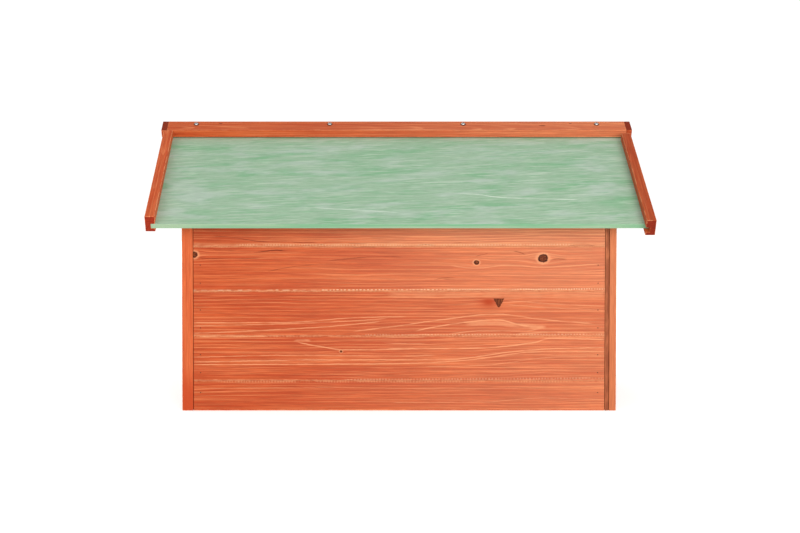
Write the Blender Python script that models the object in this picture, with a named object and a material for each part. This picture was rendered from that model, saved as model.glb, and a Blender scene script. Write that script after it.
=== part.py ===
# Low gable-roofed rabbit hutch in stained fir, in metres, +Z up.
# The doors face -Y and the closed boarded back faces +Y. The origin is on the ground, under the middle.
import math

import bmesh
import bpy
from mathutils import Vector

# ---- driving dimensions -------------------------------------------------------------------------
CLEARANCE = 0.0003            # gap kept between neighbouring solids

BODY_WIDTH = 0.889            # over the corner posts, along X
BODY_DEPTH = 0.543            # over the corner posts, along Y
EAVE_HEIGHT = 0.402           # ground to the upper edge of a roof rail's lower end
EAVE_OVERHANG = 0.060         # level reach of the rails past the wall
ROOF_PITCH = math.radians(30.0)

RAIL_WIDTH = 0.020            # roof side rails, section across X
RAIL_HEIGHT = 0.036           # roof side rails, section square to the slope
BACK_VERGE = 0.0675           # reach of the back panel's rails past each end wall
FRONT_VERGE = 0.0730          # reach of the front panel's rails past each end wall
RAIL_SLIP = 0.0136            # one rail of each panel reaches this much further down the slope
SHEET_THICKNESS = 0.0105
SHEET_DROP = 0.018            # sheet's top face below the rails' top edge
GROOVE_DEPTH = 0.009          # how far a rail's groove runs into it
BATTEN_WIDTH = 0.038          # ridge batten, along the back slope
BATTEN_HOUSING = 0.0075       # how far the batten's ends sit in the front rails
BEAM_WIDTH = 0.030
BEAM_DEPTH = 0.038

SCREW_HEAD_RADIUS = 0.0046
SCREW_HEAD_HEIGHT = 0.0026
SCREW_SHANK_RADIUS = 0.0017
SCREW_SHANK_LENGTH = 0.014
SCREW_FROM_RIDGE = 0.013      # down the slope from the ridge line
SCREW_PITCH = 0.295           # along the ridge
SCREW_COUNT = 4

POST_SIZE = 0.040             # whole section of a corner post
POST_FACE = 0.0225            # what shows of it beside the boards
BOARD_THICKNESS = 0.012
BOARD_COVER = 0.092           # height of one full wall board
BOTTOM_BOARD = 0.062          # height of the lowest one
LEAST_BOARD = 0.030           # a narrower rest joins the board below it
BOARD_RECESS = 0.001          # boards lie this far behind the posts' faces
BOARD_CHAMFER = 0.0009
BOARD_END_GAP = 0.0011        # between a board's end and the post's shoulder
SPLIT_WIDTH = 0.0016          # upright split in one corner post's outer face
SPLIT_DEPTH = 0.0040
SPLIT_FROM_CORNER = 0.0140
EDGE_SOFTENING = 0.0008

FRAME_THICKNESS = 0.0225      # front rails and stile, along Y
SILL_HEIGHT = 0.030
TRAY_FRONT_HEIGHT = 0.048
TRAY_GAP = 0.0015
MID_RAIL_HEIGHT = 0.022
STILE_WIDTH = 0.040
STILE_X = -0.120              # middle of the stile and of the partition
DOOR_GAP = 0.002
DOOR_THICKNESS = 0.016
DOOR_SWING_ROOM = 0.006       # door top to the lowest roof rail end
DOOR_FRAME_WIDTH = 0.030
LEDGE_HEIGHT = 0.036
LEDGE_THICKNESS = 0.012
LEDGE_INSET = 0.014
LEDGE_FROM_END = 0.024
MESH_PITCH = 0.025
MESH_WIRE = 0.0018
MESH_LAP = 0.010              # wire grid over the back of the door's frame

FLOOR_THICKNESS = 0.009
RUNNER_FOOT = 0.021           # ledge of each runner under the floor's edge
PARTITION_THICKNESS = 0.009
POP_HOLE_WIDTH = 0.150
POP_HOLE_HEIGHT = 0.190
POP_HOLE_Y = 0.060            # middle of the hole, towards the back
POP_HOLE_SILL = 0.030         # partition left below the hole

TRAY_HEIGHT = 0.042
TRAY_WALL = 0.0012
TRAY_SIDE_GAP = 0.004
TRAY_BACK_GAP = 0.006
HANDLE_WIDTH = 0.110
HANDLE_HEIGHT = 0.014
HANDLE_REACH = 0.016

HINGE_HEIGHT = 0.045
HINGE_LEAF = 0.0200           # from the pin's axis to the leaf's edge
LEAF_THICKNESS = 0.0014
KNUCKLE_RADIUS = 0.0034
PIN_RADIUS = 0.0013
PIN_PLAY = 0.0002
HINGE_FROM_END = 0.030        # door end to the hinge's near end
AXIS_OFF_FACE = 0.0040        # pin axis in front of the hutch's face

BUTTON_WIDTH = 0.014
BUTTON_REACH = 0.034          # between the button's two round ends' centres
BUTTON_THICKNESS = 0.004
BUTTON_SPACING = 0.018
BUTTON_HEAD_RADIUS = 0.0040
BUTTON_HEAD_HEIGHT = 0.0018

# ---- derived positions --------------------------------------------------------------------------
COS = math.cos(ROOF_PITCH)
SIN = math.sin(ROOF_PITCH)
TAN = math.tan(ROOF_PITCH)
HALF_WIDTH = BODY_WIDTH / 2
HALF_DEPTH = BODY_DEPTH / 2
EAVE_REACH = HALF_DEPTH + EAVE_OVERHANG
RIDGE_Z = EAVE_HEIGHT + EAVE_REACH * TAN
SLOPE_LENGTH = EAVE_REACH / COS
SHEET_BOTTOM = SHEET_DROP + SHEET_THICKNESS
INNER_X = HALF_WIDTH - POST_SIZE              # posts' inner faces
BACK_BOARD_FACE = HALF_DEPTH - BOARD_RECESS
SIDE_BOARD_FACE = HALF_WIDTH - BOARD_RECESS
BACK_BOARD_INSIDE = BACK_BOARD_FACE - BOARD_THICKNESS
SIDE_BOARD_INSIDE = SIDE_BOARD_FACE - BOARD_THICKNESS
FRONT_Y = -HALF_DEPTH
FRAME_BACK_Y = FRONT_Y + FRAME_THICKNESS
FLOOR_TOP = SILL_HEIGHT
TRAY_FRONT_Z = SILL_HEIGHT + TRAY_GAP
MID_RAIL_Z = TRAY_FRONT_Z + TRAY_FRONT_HEIGHT + TRAY_GAP
DOOR_Z = MID_RAIL_Z + MID_RAIL_HEIGHT + DOOR_GAP
DOOR_TOP = EAVE_HEIGHT - RAIL_HEIGHT * COS - RAIL_SLIP * SIN - DOOR_SWING_ROOM
HEADER_Z = DOOR_TOP + DOOR_GAP
AXIS_Y = FRONT_Y - AXIS_OFF_FACE
NEST_AXIS_X = -INNER_X + DOOR_GAP / 2
RUN_AXIS_X = INNER_X - DOOR_GAP / 2
NEST_DOOR_X = (-INNER_X + DOOR_GAP, STILE_X - STILE_WIDTH / 2 - DOOR_GAP)
RUN_DOOR_X = (STILE_X + STILE_WIDTH / 2 + DOOR_GAP, INNER_X - DOOR_GAP)
BUTTON_Z = (DOOR_Z + DOOR_TOP) / 2
BATTEN_THICKNESS = SHEET_DROP - CLEARANCE
BACK_PANEL_WIDTH = BODY_WIDTH + 2 * BACK_VERGE
FRONT_PANEL_WIDTH = BODY_WIDTH + 2 * FRONT_VERGE
BATTEN_LENGTH = FRONT_PANEL_WIDTH - 2 * RAIL_WIDTH + 2 * BATTEN_HOUSING
ROUND_STEPS = 12
SCREW_DOME_STEPS = 4
BUTTON_DOME_STEPS = 3
SHARP_ANGLE = math.radians(40.0)
ON_AXIS = 1e-7                # a smaller radius counts as a point on the axis
CUT_MARGIN = 0.002            # how far a cutter runs past the wood


# ---- modelling tools ----------------------------------------------------------------------------
def clear_scene():
    for item in list(bpy.data.objects):
        bpy.data.objects.remove(item, do_unlink=True)


def make_finish(name, colour, roughness, metallic):
    material = bpy.data.materials.new(name)
    material.use_nodes = True
    shader = material.node_tree.nodes["Principled BSDF"]
    shader.inputs["Base Color"].default_value = (*colour, 1.0)
    shader.inputs["Roughness"].default_value = roughness
    shader.inputs["Metallic"].default_value = metallic
    return material


def place_object(name, shape, finish):
    # The mesh is centred on its own origin, and the object's location puts it in place.
    low = Vector([min(v.co[i] for v in shape.verts) for i in range(3)])
    high = Vector([max(v.co[i] for v in shape.verts) for i in range(3)])
    middle = (low + high) / 2
    bmesh.ops.translate(shape, verts=shape.verts, vec=-middle)
    bmesh.ops.recalc_face_normals(shape, faces=shape.faces)
    mesh = bpy.data.meshes.new(name)
    shape.to_mesh(mesh)
    shape.free()
    item = bpy.data.objects.new(name, mesh)
    item.location = middle
    bpy.context.scene.collection.objects.link(item)
    if finish is not None:
        mesh.materials.append(finish)
    return item


def prism_shape(outline, axis, low, high):
    # A flat outline drawn across one axis (0, 1 or 2) and extruded along it.
    shape = bmesh.new()
    corners = []
    for first, second in outline:
        point = [first, second]
        point.insert(axis, low)
        corners.append(shape.verts.new(point))
    base = shape.faces.new(corners)
    swept = bmesh.ops.extrude_face_region(shape, geom=[base])
    rise = Vector((0.0, 0.0, 0.0))
    rise[axis] = high - low
    lifted = [part for part in swept["geom"] if isinstance(part, bmesh.types.BMVert)]
    bmesh.ops.translate(shape, verts=lifted, vec=rise)
    return shape


def add_prism(name, outline, axis, low, high, finish):
    return place_object(name, prism_shape(outline, axis, low, high), finish)


def add_box(name, x_span, y_span, z_span, finish, softening=0.0):
    outline = [
        (y_span[0], z_span[0]),
        (y_span[1], z_span[0]),
        (y_span[1], z_span[1]),
        (y_span[0], z_span[1]),
    ]
    item = add_prism(name, outline, 0, x_span[0], x_span[1], finish)
    if softening > 0.0:
        soften(item, softening)
    return item


def soften(item, width):
    bevel = item.modifiers.new("softened edges", "BEVEL")
    bevel.width = width
    bevel.segments = 1
    bevel.limit_method = "ANGLE"
    bevel.angle_limit = SHARP_ANGLE


def mark_as_tool(item):
    item.hide_render = True
    item.display_type = "WIRE"


def combine(target, tools, operation):
    for tool in tools:
        mark_as_tool(tool)
        step = target.modifiers.new(tool.name, "BOOLEAN")
        step.operation = operation
        step.solver = "EXACT"
        step.object = tool


def round_points(centre, radius, start, end, steps):
    points = []
    for index in range(steps + 1):
        angle = start + (end - start) * index / steps
        points.append((centre[0] + radius * math.cos(angle), centre[1] + radius * math.sin(angle)))
    return points


def add_rod(name, centre, radius, z_span, finish, steps=ROUND_STEPS):
    outline = round_points(centre, radius, 0.0, 2 * math.pi, steps)[:-1]
    return add_prism(name, outline, 2, z_span[0], z_span[1], finish)


def hang_on(pivot_name, position, pieces):
    pivot = bpy.data.objects.new(pivot_name, None)
    pivot.location = position
    bpy.context.scene.collection.objects.link(pivot)
    for piece in pieces:
        piece.parent = pivot
        piece.location = piece.location - pivot.location


# ---- roof geometry ------------------------------------------------------------------------------
def on_slope(side, down, deep):
    # side is 1 for the back slope and -1 for the front one. down runs from the ridge to the eave
    # along the rails' top edge, and deep runs into the roof, square to the slope.
    return (side * (down * COS - deep * SIN), RIDGE_Z - down * SIN - deep * COS)


def roof_underside(y):
    return RIDGE_Z - abs(y) * TAN - SHEET_BOTTOM / COS - CLEARANCE


def slope_box(name, side, x_span, down_span, deep_span, finish):
    outline = [
        on_slope(side, down_span[0], deep_span[0]),
        on_slope(side, down_span[1], deep_span[0]),
        on_slope(side, down_span[1], deep_span[1]),
        on_slope(side, down_span[0], deep_span[1]),
    ]
    return add_prism(name, outline, 0, x_span[0], x_span[1], finish)


def x_span_at(side_x, outer, inner):
    return (inner, outer) if side_x > 0 else (-outer, -inner)


def groove_cutter(name, side, side_x, rail_inner, start, end):
    span = x_span_at(side_x, rail_inner + GROOVE_DEPTH, rail_inner - CUT_MARGIN)
    deep = (SHEET_DROP - CLEARANCE, SHEET_BOTTOM + CLEARANCE)
    return slope_box(name, side, span, (start, end), deep, None)


def back_rail(name, side_x, slip, wood):
    outer = BACK_PANEL_WIDTH / 2
    inner = outer - RAIL_WIDTH
    start = BATTEN_WIDTH + CLEARANCE + slip
    end = SLOPE_LENGTH + slip
    rail = slope_box(name, 1, x_span_at(side_x, outer, inner), (start, end), (0.0, RAIL_HEIGHT), wood)
    groove = groove_cutter(name + "_groove", 1, side_x, inner, start - CUT_MARGIN, end + CUT_MARGIN)
    combine(rail, [groove], "DIFFERENCE")


def front_rail(name, side_x, slip, wood):
    # The rail climbs the front slope, crosses the ridge and ends in a block on the back slope,
    # level with the batten.
    outer = FRONT_PANEL_WIDTH / 2
    inner = outer - RAIL_WIDTH
    seat = SHEET_DROP - CLEARANCE
    under = (RAIL_HEIGHT - seat * math.cos(2 * ROOF_PITCH)) / math.sin(2 * ROOF_PITCH)
    end = SLOPE_LENGTH + slip
    outline = [
        on_slope(-1, end, RAIL_HEIGHT),
        on_slope(-1, end, 0.0),
        on_slope(-1, 0.0, 0.0),
        on_slope(1, BATTEN_WIDTH, 0.0),
        on_slope(1, BATTEN_WIDTH, seat),
        on_slope(1, under, seat),
    ]
    span = x_span_at(side_x, outer, inner)
    rail = add_prism(name, outline, 0, span[0], span[1], wood)
    groove_start = SHEET_DROP * TAN - CLEARANCE
    groove = groove_cutter(name + "_groove", -1, side_x, inner, groove_start, end + CUT_MARGIN)
    housing_span = x_span_at(side_x, inner + BATTEN_HOUSING + CLEARANCE, inner - CUT_MARGIN)
    housing = slope_box(
        name + "_housing",
        1,
        housing_span,
        (-CLEARANCE, BATTEN_WIDTH + CUT_MARGIN),
        (-CUT_MARGIN, SHEET_DROP),
        None,
    )
    combine(rail, [groove, housing], "DIFFERENCE")


def roof_sheet(name, side, rail_inner, green):
    # The two sheets meet in a plumb joint under the ridge.
    half = rail_inner + GROOVE_DEPTH - CLEARANCE
    ridge_y = side * CLEARANCE / 2
    outline = [
        (ridge_y, RIDGE_Z - CLEARANCE / 2 * TAN - SHEET_DROP / COS),
        on_slope(side, SLOPE_LENGTH, SHEET_DROP),
        on_slope(side, SLOPE_LENGTH, SHEET_BOTTOM),
        (ridge_y, RIDGE_Z - CLEARANCE / 2 * TAN - SHEET_BOTTOM / COS),
    ]
    return add_prism(name, outline, 0, -half, half, green)


def back_sheet_corners(sheet):
    # The front rails' ends pass through the back sheet's upper corners.
    front_inner = FRONT_PANEL_WIDTH / 2 - RAIL_WIDTH
    cutters = []
    for name, side_x in (("sheet_corner_run", 1), ("sheet_corner_nest", -1)):
        span = x_span_at(side_x, front_inner + RAIL_WIDTH, front_inner - CLEARANCE)
        down = (-RAIL_HEIGHT, BATTEN_WIDTH + CLEARANCE)
        deep = (SHEET_DROP - CUT_MARGIN, SHEET_BOTTOM + CUT_MARGIN)
        cutters.append(slope_box(name, 1, span, down, deep, None))
    combine(sheet, cutters, "DIFFERENCE")


def dome_profile(head_radius, head_height, steps):
    # Points from the head's rim to its top, as (radius, height).
    curve = (head_radius ** 2 + head_height ** 2) / (2 * head_height)
    points = []
    for index in range(steps + 1):
        radius = head_radius * (1 - index / steps)
        height = head_height - curve + math.sqrt(curve ** 2 - radius ** 2)
        points.append((radius, height))
    return points


def lathe_shape(profile, steps):
    # A closed turned body round Z: the first and last points of the profile lie on the axis.
    shape = bmesh.new()
    rings = []
    for radius, height in profile:
        if radius < ON_AXIS:
            rings.append([shape.verts.new((0.0, 0.0, height))])
            continue
        ring = []
        for index in range(steps):
            angle = 2 * math.pi * index / steps
            ring.append(shape.verts.new((radius * math.cos(angle), radius * math.sin(angle), height)))
        rings.append(ring)
    for lower, upper in zip(rings, rings[1:]):
        for index in range(steps):
            following = (index + 1) % steps
            corners = []
            for ring, place in ((lower, index), (lower, following), (upper, following), (upper, index)):
                vert = ring[place % len(ring)]
                if vert not in corners:
                    corners.append(vert)
            shape.faces.new(corners)
    bmesh.ops.recalc_face_normals(shape, faces=shape.faces)
    return shape


def screw_positions():
    first = -SCREW_PITCH * (SCREW_COUNT - 1) / 2
    return [first + SCREW_PITCH * index for index in range(SCREW_COUNT)]


def ridge_screw(name, x, steel):
    profile = [(0.0, -SCREW_SHANK_LENGTH), (SCREW_SHANK_RADIUS, -SCREW_SHANK_LENGTH)]
    profile.append((SCREW_SHANK_RADIUS, CLEARANCE))
    dome = dome_profile(SCREW_HEAD_RADIUS, SCREW_HEAD_HEIGHT, SCREW_DOME_STEPS)
    profile += [(radius, height + CLEARANCE) for radius, height in dome]
    mesh = bpy.data.meshes.new(name)
    shape = lathe_shape(profile, ROUND_STEPS)
    shape.to_mesh(mesh)
    shape.free()
    mesh.shade_smooth()
    mesh.set_sharp_from_angle(angle=SHARP_ANGLE)
    mesh.materials.append(steel)
    screw = bpy.data.objects.new(name, mesh)
    y, z = on_slope(1, SCREW_FROM_RIDGE, 0.0)
    screw.location = (x, y, z)
    screw.rotation_euler = (-ROOF_PITCH, 0.0, 0.0)
    bpy.context.scene.collection.objects.link(screw)


def ridge_batten(wood):
    half = BATTEN_LENGTH / 2
    batten = slope_box("ridge_batten", 1, (-half, half), (0.0, BATTEN_WIDTH), (0.0, BATTEN_THICKNESS), wood)
    holes = []
    radius = SCREW_SHANK_RADIUS + CLEARANCE
    for index, x in enumerate(screw_positions()):
        name = "batten_hole_%d" % (index + 1)
        depth = SCREW_SHANK_LENGTH + CLEARANCE
        hole = add_rod(name, (0.0, 0.0), radius, (-depth, CUT_MARGIN), None)
        centre = (CUT_MARGIN - depth) / 2
        y, z = on_slope(1, SCREW_FROM_RIDGE, -centre)
        hole.location = (x, y, z)
        hole.rotation_euler = (-ROOF_PITCH, 0.0, 0.0)
        holes.append(hole)
    combine(batten, holes, "DIFFERENCE")


def ridge_beam(wood):
    top = roof_underside(0.0)
    half = BEAM_WIDTH / 2
    outline = [
        (-half, top - BEAM_DEPTH),
        (half, top - BEAM_DEPTH),
        (half, roof_underside(half)),
        (0.0, top),
        (-half, roof_underside(half)),
    ]
    reach = SIDE_BOARD_INSIDE - CLEARANCE
    add_prism("ridge_beam", outline, 0, -reach, reach, wood)


def build_roof(wood, green, steel):
    back_inner = BACK_PANEL_WIDTH / 2 - RAIL_WIDTH
    front_inner = FRONT_PANEL_WIDTH / 2 - RAIL_WIDTH
    back_rail("back_rail_run", 1, 0.0, wood)
    back_rail("back_rail_nest", -1, RAIL_SLIP, wood)
    front_rail("front_rail_run", 1, RAIL_SLIP, wood)
    front_rail("front_rail_nest", -1, 0.0, wood)
    back_sheet = roof_sheet("roof_sheet_back", 1, back_inner, green)
    back_sheet_corners(back_sheet)
    roof_sheet("roof_sheet_front", -1, front_inner, green)
    ridge_batten(wood)
    ridge_beam(wood)
    for index, x in enumerate(screw_positions()):
        ridge_screw("ridge_screw_%d" % (index + 1), x, steel)


# ---- walls --------------------------------------------------------------------------------------
def board_seams(top):
    # Heights of the joints between the boards, from the ground up.
    seams = [0.0, BOTTOM_BOARD]
    while seams[-1] + BOARD_COVER + LEAST_BOARD < top:
        seams.append(seams[-1] + BOARD_COVER)
    return seams + [top]


def corner_post(name, side_x, side_y, back_rebate, is_split, wood):
    # Square post with a rebate behind each run of boards that it carries, cut off under the roof.
    outer_x = HALF_WIDTH
    outer_y = HALF_DEPTH
    inner_x = outer_x - POST_SIZE
    inner_y = outer_y - POST_SIZE
    step_x = SIDE_BOARD_INSIDE - CLEARANCE
    step_y = BACK_BOARD_INSIDE - CLEARANCE
    outline = [(outer_x, outer_y), (outer_x, outer_y - POST_FACE), (step_x, outer_y - POST_FACE)]
    outline += [(step_x, inner_y), (inner_x, inner_y)]
    if back_rebate:
        outline += [(inner_x, step_y), (outer_x - POST_FACE, step_y), (outer_x - POST_FACE, outer_y)]
    else:
        outline.append((inner_x, outer_y))
    if is_split:
        near = outer_x - SPLIT_FROM_CORNER
        far = near - SPLIT_WIDTH
        outline += [(far, outer_y), ((far + near) / 2, outer_y - SPLIT_DEPTH), (near, outer_y)]
    outline = [(side_x * x, side_y * y) for x, y in outline]
    shape = prism_shape(outline, 2, 0.0, roof_underside(inner_y) + CUT_MARGIN)
    plane_point = Vector((0.0, side_y * outer_y, roof_underside(outer_y)))
    plane_normal = Vector((0.0, side_y * SIN, COS))
    everything = list(shape.verts) + list(shape.edges) + list(shape.faces)
    bmesh.ops.bisect_plane(
        shape, geom=everything, plane_co=plane_point, plane_no=plane_normal, clear_outer=True
    )
    rim = [edge for edge in shape.edges if edge.is_boundary]
    bmesh.ops.edgenet_fill(shape, edges=rim)
    place_object(name, shape, wood)


def back_boards(wood):
    top = roof_underside(BACK_BOARD_FACE)
    seams = board_seams(top)
    reach = HALF_WIDTH - POST_FACE - BOARD_END_GAP
    inside = BACK_BOARD_INSIDE
    for row, (low, high) in enumerate(zip(seams, seams[1:])):
        is_top = high == top
        upper = high if is_top else high - CLEARANCE
        outline = [(inside, low), (BACK_BOARD_FACE, low)]
        if is_top:
            outline += [(BACK_BOARD_FACE, upper), (inside, roof_underside(inside))]
        else:
            outline.append((BACK_BOARD_FACE, upper - BOARD_CHAMFER))
            outline += [(BACK_BOARD_FACE - BOARD_CHAMFER, upper), (inside, upper)]
        add_prism("back_board_%d" % (row + 1), outline, 0, -reach, reach, wood)


def side_boards(side_name, side_x, wood):
    seams = board_seams(roof_underside(BACK_BOARD_FACE))
    reach = HALF_DEPTH - POST_FACE - BOARD_END_GAP
    face = SIDE_BOARD_FACE
    for row, (low, high) in enumerate(zip(seams[:-2], seams[1:-1])):
        upper = high - CLEARANCE
        outline = [
            (side_x * SIDE_BOARD_INSIDE, low),  # (x, z), swept along Y
            (side_x * face, low),
            (side_x * face, upper - BOARD_CHAMFER),
            (side_x * (face - BOARD_CHAMFER), upper),
            (side_x * SIDE_BOARD_INSIDE, upper),
        ]
        add_prism("%s_board_%d" % (side_name, row + 1), outline, 1, -reach, reach, wood)
    low = seams[-2]
    gable = [
        (-reach, low),
        (reach, low),
        (reach, roof_underside(reach)),
        (0.0, roof_underside(0.0)),
        (-reach, roof_underside(reach)),
    ]
    span = x_span_at(side_x, face, SIDE_BOARD_INSIDE)
    add_prism("%s_gable" % side_name, gable, 0, span[0], span[1], wood)


def build_walls(wood):
    corner_post("post_back_run", 1, 1, True, False, wood)
    corner_post("post_back_nest", -1, 1, True, True, wood)
    corner_post("post_front_run", 1, -1, False, False, wood)
    corner_post("post_front_nest", -1, -1, False, False, wood)
    back_boards(wood)
    side_boards("run_side", 1, wood)
    side_boards("nest_side", -1, wood)


# ---- front frame, floor and partition -----------------------------------------------------------
def build_front_frame(wood):
    reach = INNER_X - CLEARANCE
    depth = (FRONT_Y, FRAME_BACK_Y)
    add_box("front_sill", (-reach, reach), depth, (0.0, SILL_HEIGHT), wood, EDGE_SOFTENING)
    mid_span = (MID_RAIL_Z, MID_RAIL_Z + MID_RAIL_HEIGHT)
    add_box("front_mid_rail", (-reach, reach), depth, mid_span, wood, EDGE_SOFTENING)
    header = [
        (FRONT_Y, HEADER_Z),
        (FRAME_BACK_Y, HEADER_Z),
        (FRAME_BACK_Y, roof_underside(FRAME_BACK_Y)),
        (FRONT_Y, roof_underside(FRONT_Y)),
    ]
    add_prism("front_header", header, 0, -reach, reach, wood)
    stile_x = (STILE_X - STILE_WIDTH / 2, STILE_X + STILE_WIDTH / 2)
    stile_z = (mid_span[1] + CLEARANCE, HEADER_Z - CLEARANCE)
    add_box("front_stile", stile_x, depth, stile_z, wood, EDGE_SOFTENING)


def side_runner(name, side_x, wood):
    # Guides the tray, closes the gap beside it, and carries the floor's edge on its foot.
    outer = SIDE_BOARD_INSIDE - CLEARANCE
    foot_top = FLOOR_TOP - FLOOR_THICKNESS - CLEARANCE
    top = MID_RAIL_Z
    outline = [
        (side_x * outer, 0.0),
        (side_x * outer, top),
        (side_x * INNER_X, top),
        (side_x * INNER_X, foot_top),
        (side_x * (INNER_X - RUNNER_FOOT), foot_top),
        (side_x * (INNER_X - RUNNER_FOOT), 0.0),
    ]
    reach = HALF_DEPTH - POST_SIZE - CLEARANCE
    add_prism(name, outline, 1, -reach, reach, wood)


def build_partition(wood):
    front = FRAME_BACK_Y + CLEARANCE
    back = BACK_BOARD_INSIDE - CLEARANCE
    bottom = MID_RAIL_Z + CLEARANCE
    beam_side = BEAM_WIDTH / 2 + CLEARANCE
    beam_under = roof_underside(0.0) - BEAM_DEPTH - CLEARANCE
    outline = [
        (front, bottom),
        (back, bottom),
        (back, roof_underside(back)),
        (beam_side, roof_underside(beam_side)),
        (beam_side, beam_under),
        (-beam_side, beam_under),
        (-beam_side, roof_underside(beam_side)),
        (front, roof_underside(front)),
    ]
    half = PARTITION_THICKNESS / 2
    partition = add_prism("partition", outline, 0, STILE_X - half, STILE_X + half, wood)
    radius = POP_HOLE_WIDTH / 2
    spring = bottom + POP_HOLE_SILL + POP_HOLE_HEIGHT - radius
    arch = round_points((POP_HOLE_Y, spring), radius, 0.0, math.pi, ROUND_STEPS)
    foot = bottom + POP_HOLE_SILL
    hole = [(POP_HOLE_Y + radius, foot)] + arch + [(POP_HOLE_Y - radius, foot)]
    reach = half + CUT_MARGIN
    cutter = add_prism("pop_hole_cutter", hole, 0, STILE_X - reach, STILE_X + reach, None)
    combine(partition, [cutter], "DIFFERENCE")


def build_floor(wood):
    reach = INNER_X - CLEARANCE
    depth = (FRAME_BACK_Y + CLEARANCE, BACK_BOARD_INSIDE - CLEARANCE)
    floor_z = (FLOOR_TOP - FLOOR_THICKNESS, FLOOR_TOP)
    add_box("floor_panel", (-reach, reach), depth, floor_z, wood)
    side_runner("tray_runner_run", 1, wood)
    side_runner("tray_runner_nest", -1, wood)


# ---- tray ---------------------------------------------------------------------------------------
def tray_pan(zinc):
    half = INNER_X - TRAY_SIDE_GAP
    front = FRONT_Y + BOARD_THICKNESS + CLEARANCE
    back = BACK_BOARD_INSIDE - TRAY_BACK_GAP
    low = FLOOR_TOP + CLEARANCE
    outline = [(-half, front), (half, front), (half, back), (-half, back)]
    shape = prism_shape(outline, 2, low, low + TRAY_HEIGHT)
    top = [max(shape.faces, key=lambda face: face.calc_center_median().z)]
    bmesh.ops.inset_region(shape, faces=top, thickness=TRAY_WALL, use_even_offset=True)
    pit = bmesh.ops.extrude_face_region(shape, geom=top)
    lowered = [part for part in pit["geom"] if isinstance(part, bmesh.types.BMVert)]
    bmesh.ops.translate(shape, verts=lowered, vec=(0.0, 0.0, TRAY_WALL - TRAY_HEIGHT))
    bmesh.ops.delete(shape, geom=top, context="FACES")
    return place_object("tray_pan", shape, zinc)


def build_tray(wood, zinc, steel):
    reach = INNER_X - TRAY_GAP
    front_z = (TRAY_FRONT_Z, TRAY_FRONT_Z + TRAY_FRONT_HEIGHT)
    front_y = (FRONT_Y, FRONT_Y + BOARD_THICKNESS)
    board = add_box("tray_front", (-reach, reach), front_y, front_z, wood, EDGE_SOFTENING)
    pan = tray_pan(zinc)
    middle = sum(front_z) / 2
    half = HANDLE_WIDTH / 2
    bar = HANDLE_HEIGHT / 2
    face = FRONT_Y - CLEARANCE
    bow = [
        (-half, face),
        (-half, face - HANDLE_REACH + bar),
        (-half + bar, face - HANDLE_REACH),
        (half - bar, face - HANDLE_REACH),
        (half, face - HANDLE_REACH + bar),
        (half, face),
        (half - bar, face),
        (half - bar, face - HANDLE_REACH + bar),
        (-half + bar, face - HANDLE_REACH + bar),
        (-half + bar, face),
    ]
    handle = add_prism("tray_handle", bow, 2, middle - bar, middle + bar, steel)
    hang_on("tray_slide", (0.0, FRONT_Y, FLOOR_TOP), [board, pan, handle])


# ---- doors --------------------------------------------------------------------------------------
def nest_door(wood):
    x_low, x_high = NEST_DOOR_X
    depth = (FRONT_Y, FRONT_Y + DOOR_THICKNESS)
    pieces = [add_box("nest_door_panel", NEST_DOOR_X, depth, (DOOR_Z, DOOR_TOP), wood, EDGE_SOFTENING)]
    ledge_y = (depth[1] + CLEARANCE, depth[1] + CLEARANCE + LEDGE_THICKNESS)
    ledge_x = (x_low + LEDGE_INSET, x_high - STILE_WIDTH / 2)
    for name, low in (
        ("nest_door_ledge_low", DOOR_Z + LEDGE_FROM_END),
        ("nest_door_ledge_high", DOOR_TOP - LEDGE_FROM_END - LEDGE_HEIGHT),
    ):
        pieces.append(add_box(name, ledge_x, ledge_y, (low, low + LEDGE_HEIGHT), wood, EDGE_SOFTENING))
    return pieces


def wire_grid_shape(x_span, y_span, z_span, pitch, wire):
    # One flat welded grid: wires across both ways, with a whole number of openings each way.
    columns = max(1, round((x_span[1] - x_span[0] - wire) / pitch))
    rows = max(1, round((z_span[1] - z_span[0] - wire) / pitch))
    lines_x = grid_lines(x_span, columns, wire)
    lines_z = grid_lines(z_span, rows, wire)
    shape = bmesh.new()
    for i in range(len(lines_x) - 1):
        for j in range(len(lines_z) - 1):
            if i % 2 == 1 and j % 2 == 1:
                continue
            corners = [
                (lines_x[i], lines_z[j]),
                (lines_x[i + 1], lines_z[j]),
                (lines_x[i + 1], lines_z[j + 1]),
                (lines_x[i], lines_z[j + 1]),
            ]
            shape.faces.new([shape.verts.new((x, y_span[0], z)) for x, z in corners])
    bmesh.ops.remove_doubles(shape, verts=shape.verts, dist=wire / 10)
    sheet = list(shape.faces)
    swept = bmesh.ops.extrude_face_region(shape, geom=sheet)
    moved = [part for part in swept["geom"] if isinstance(part, bmesh.types.BMVert)]
    bmesh.ops.translate(shape, verts=moved, vec=(0.0, y_span[1] - y_span[0], 0.0))
    return shape


def grid_lines(span, count, wire):
    # Both edges of every wire, in order along the span.
    step = (span[1] - span[0] - wire) / count
    lines = []
    for index in range(count + 1):
        low = span[0] + step * index
        lines += [low, low + wire]
    return lines


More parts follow.
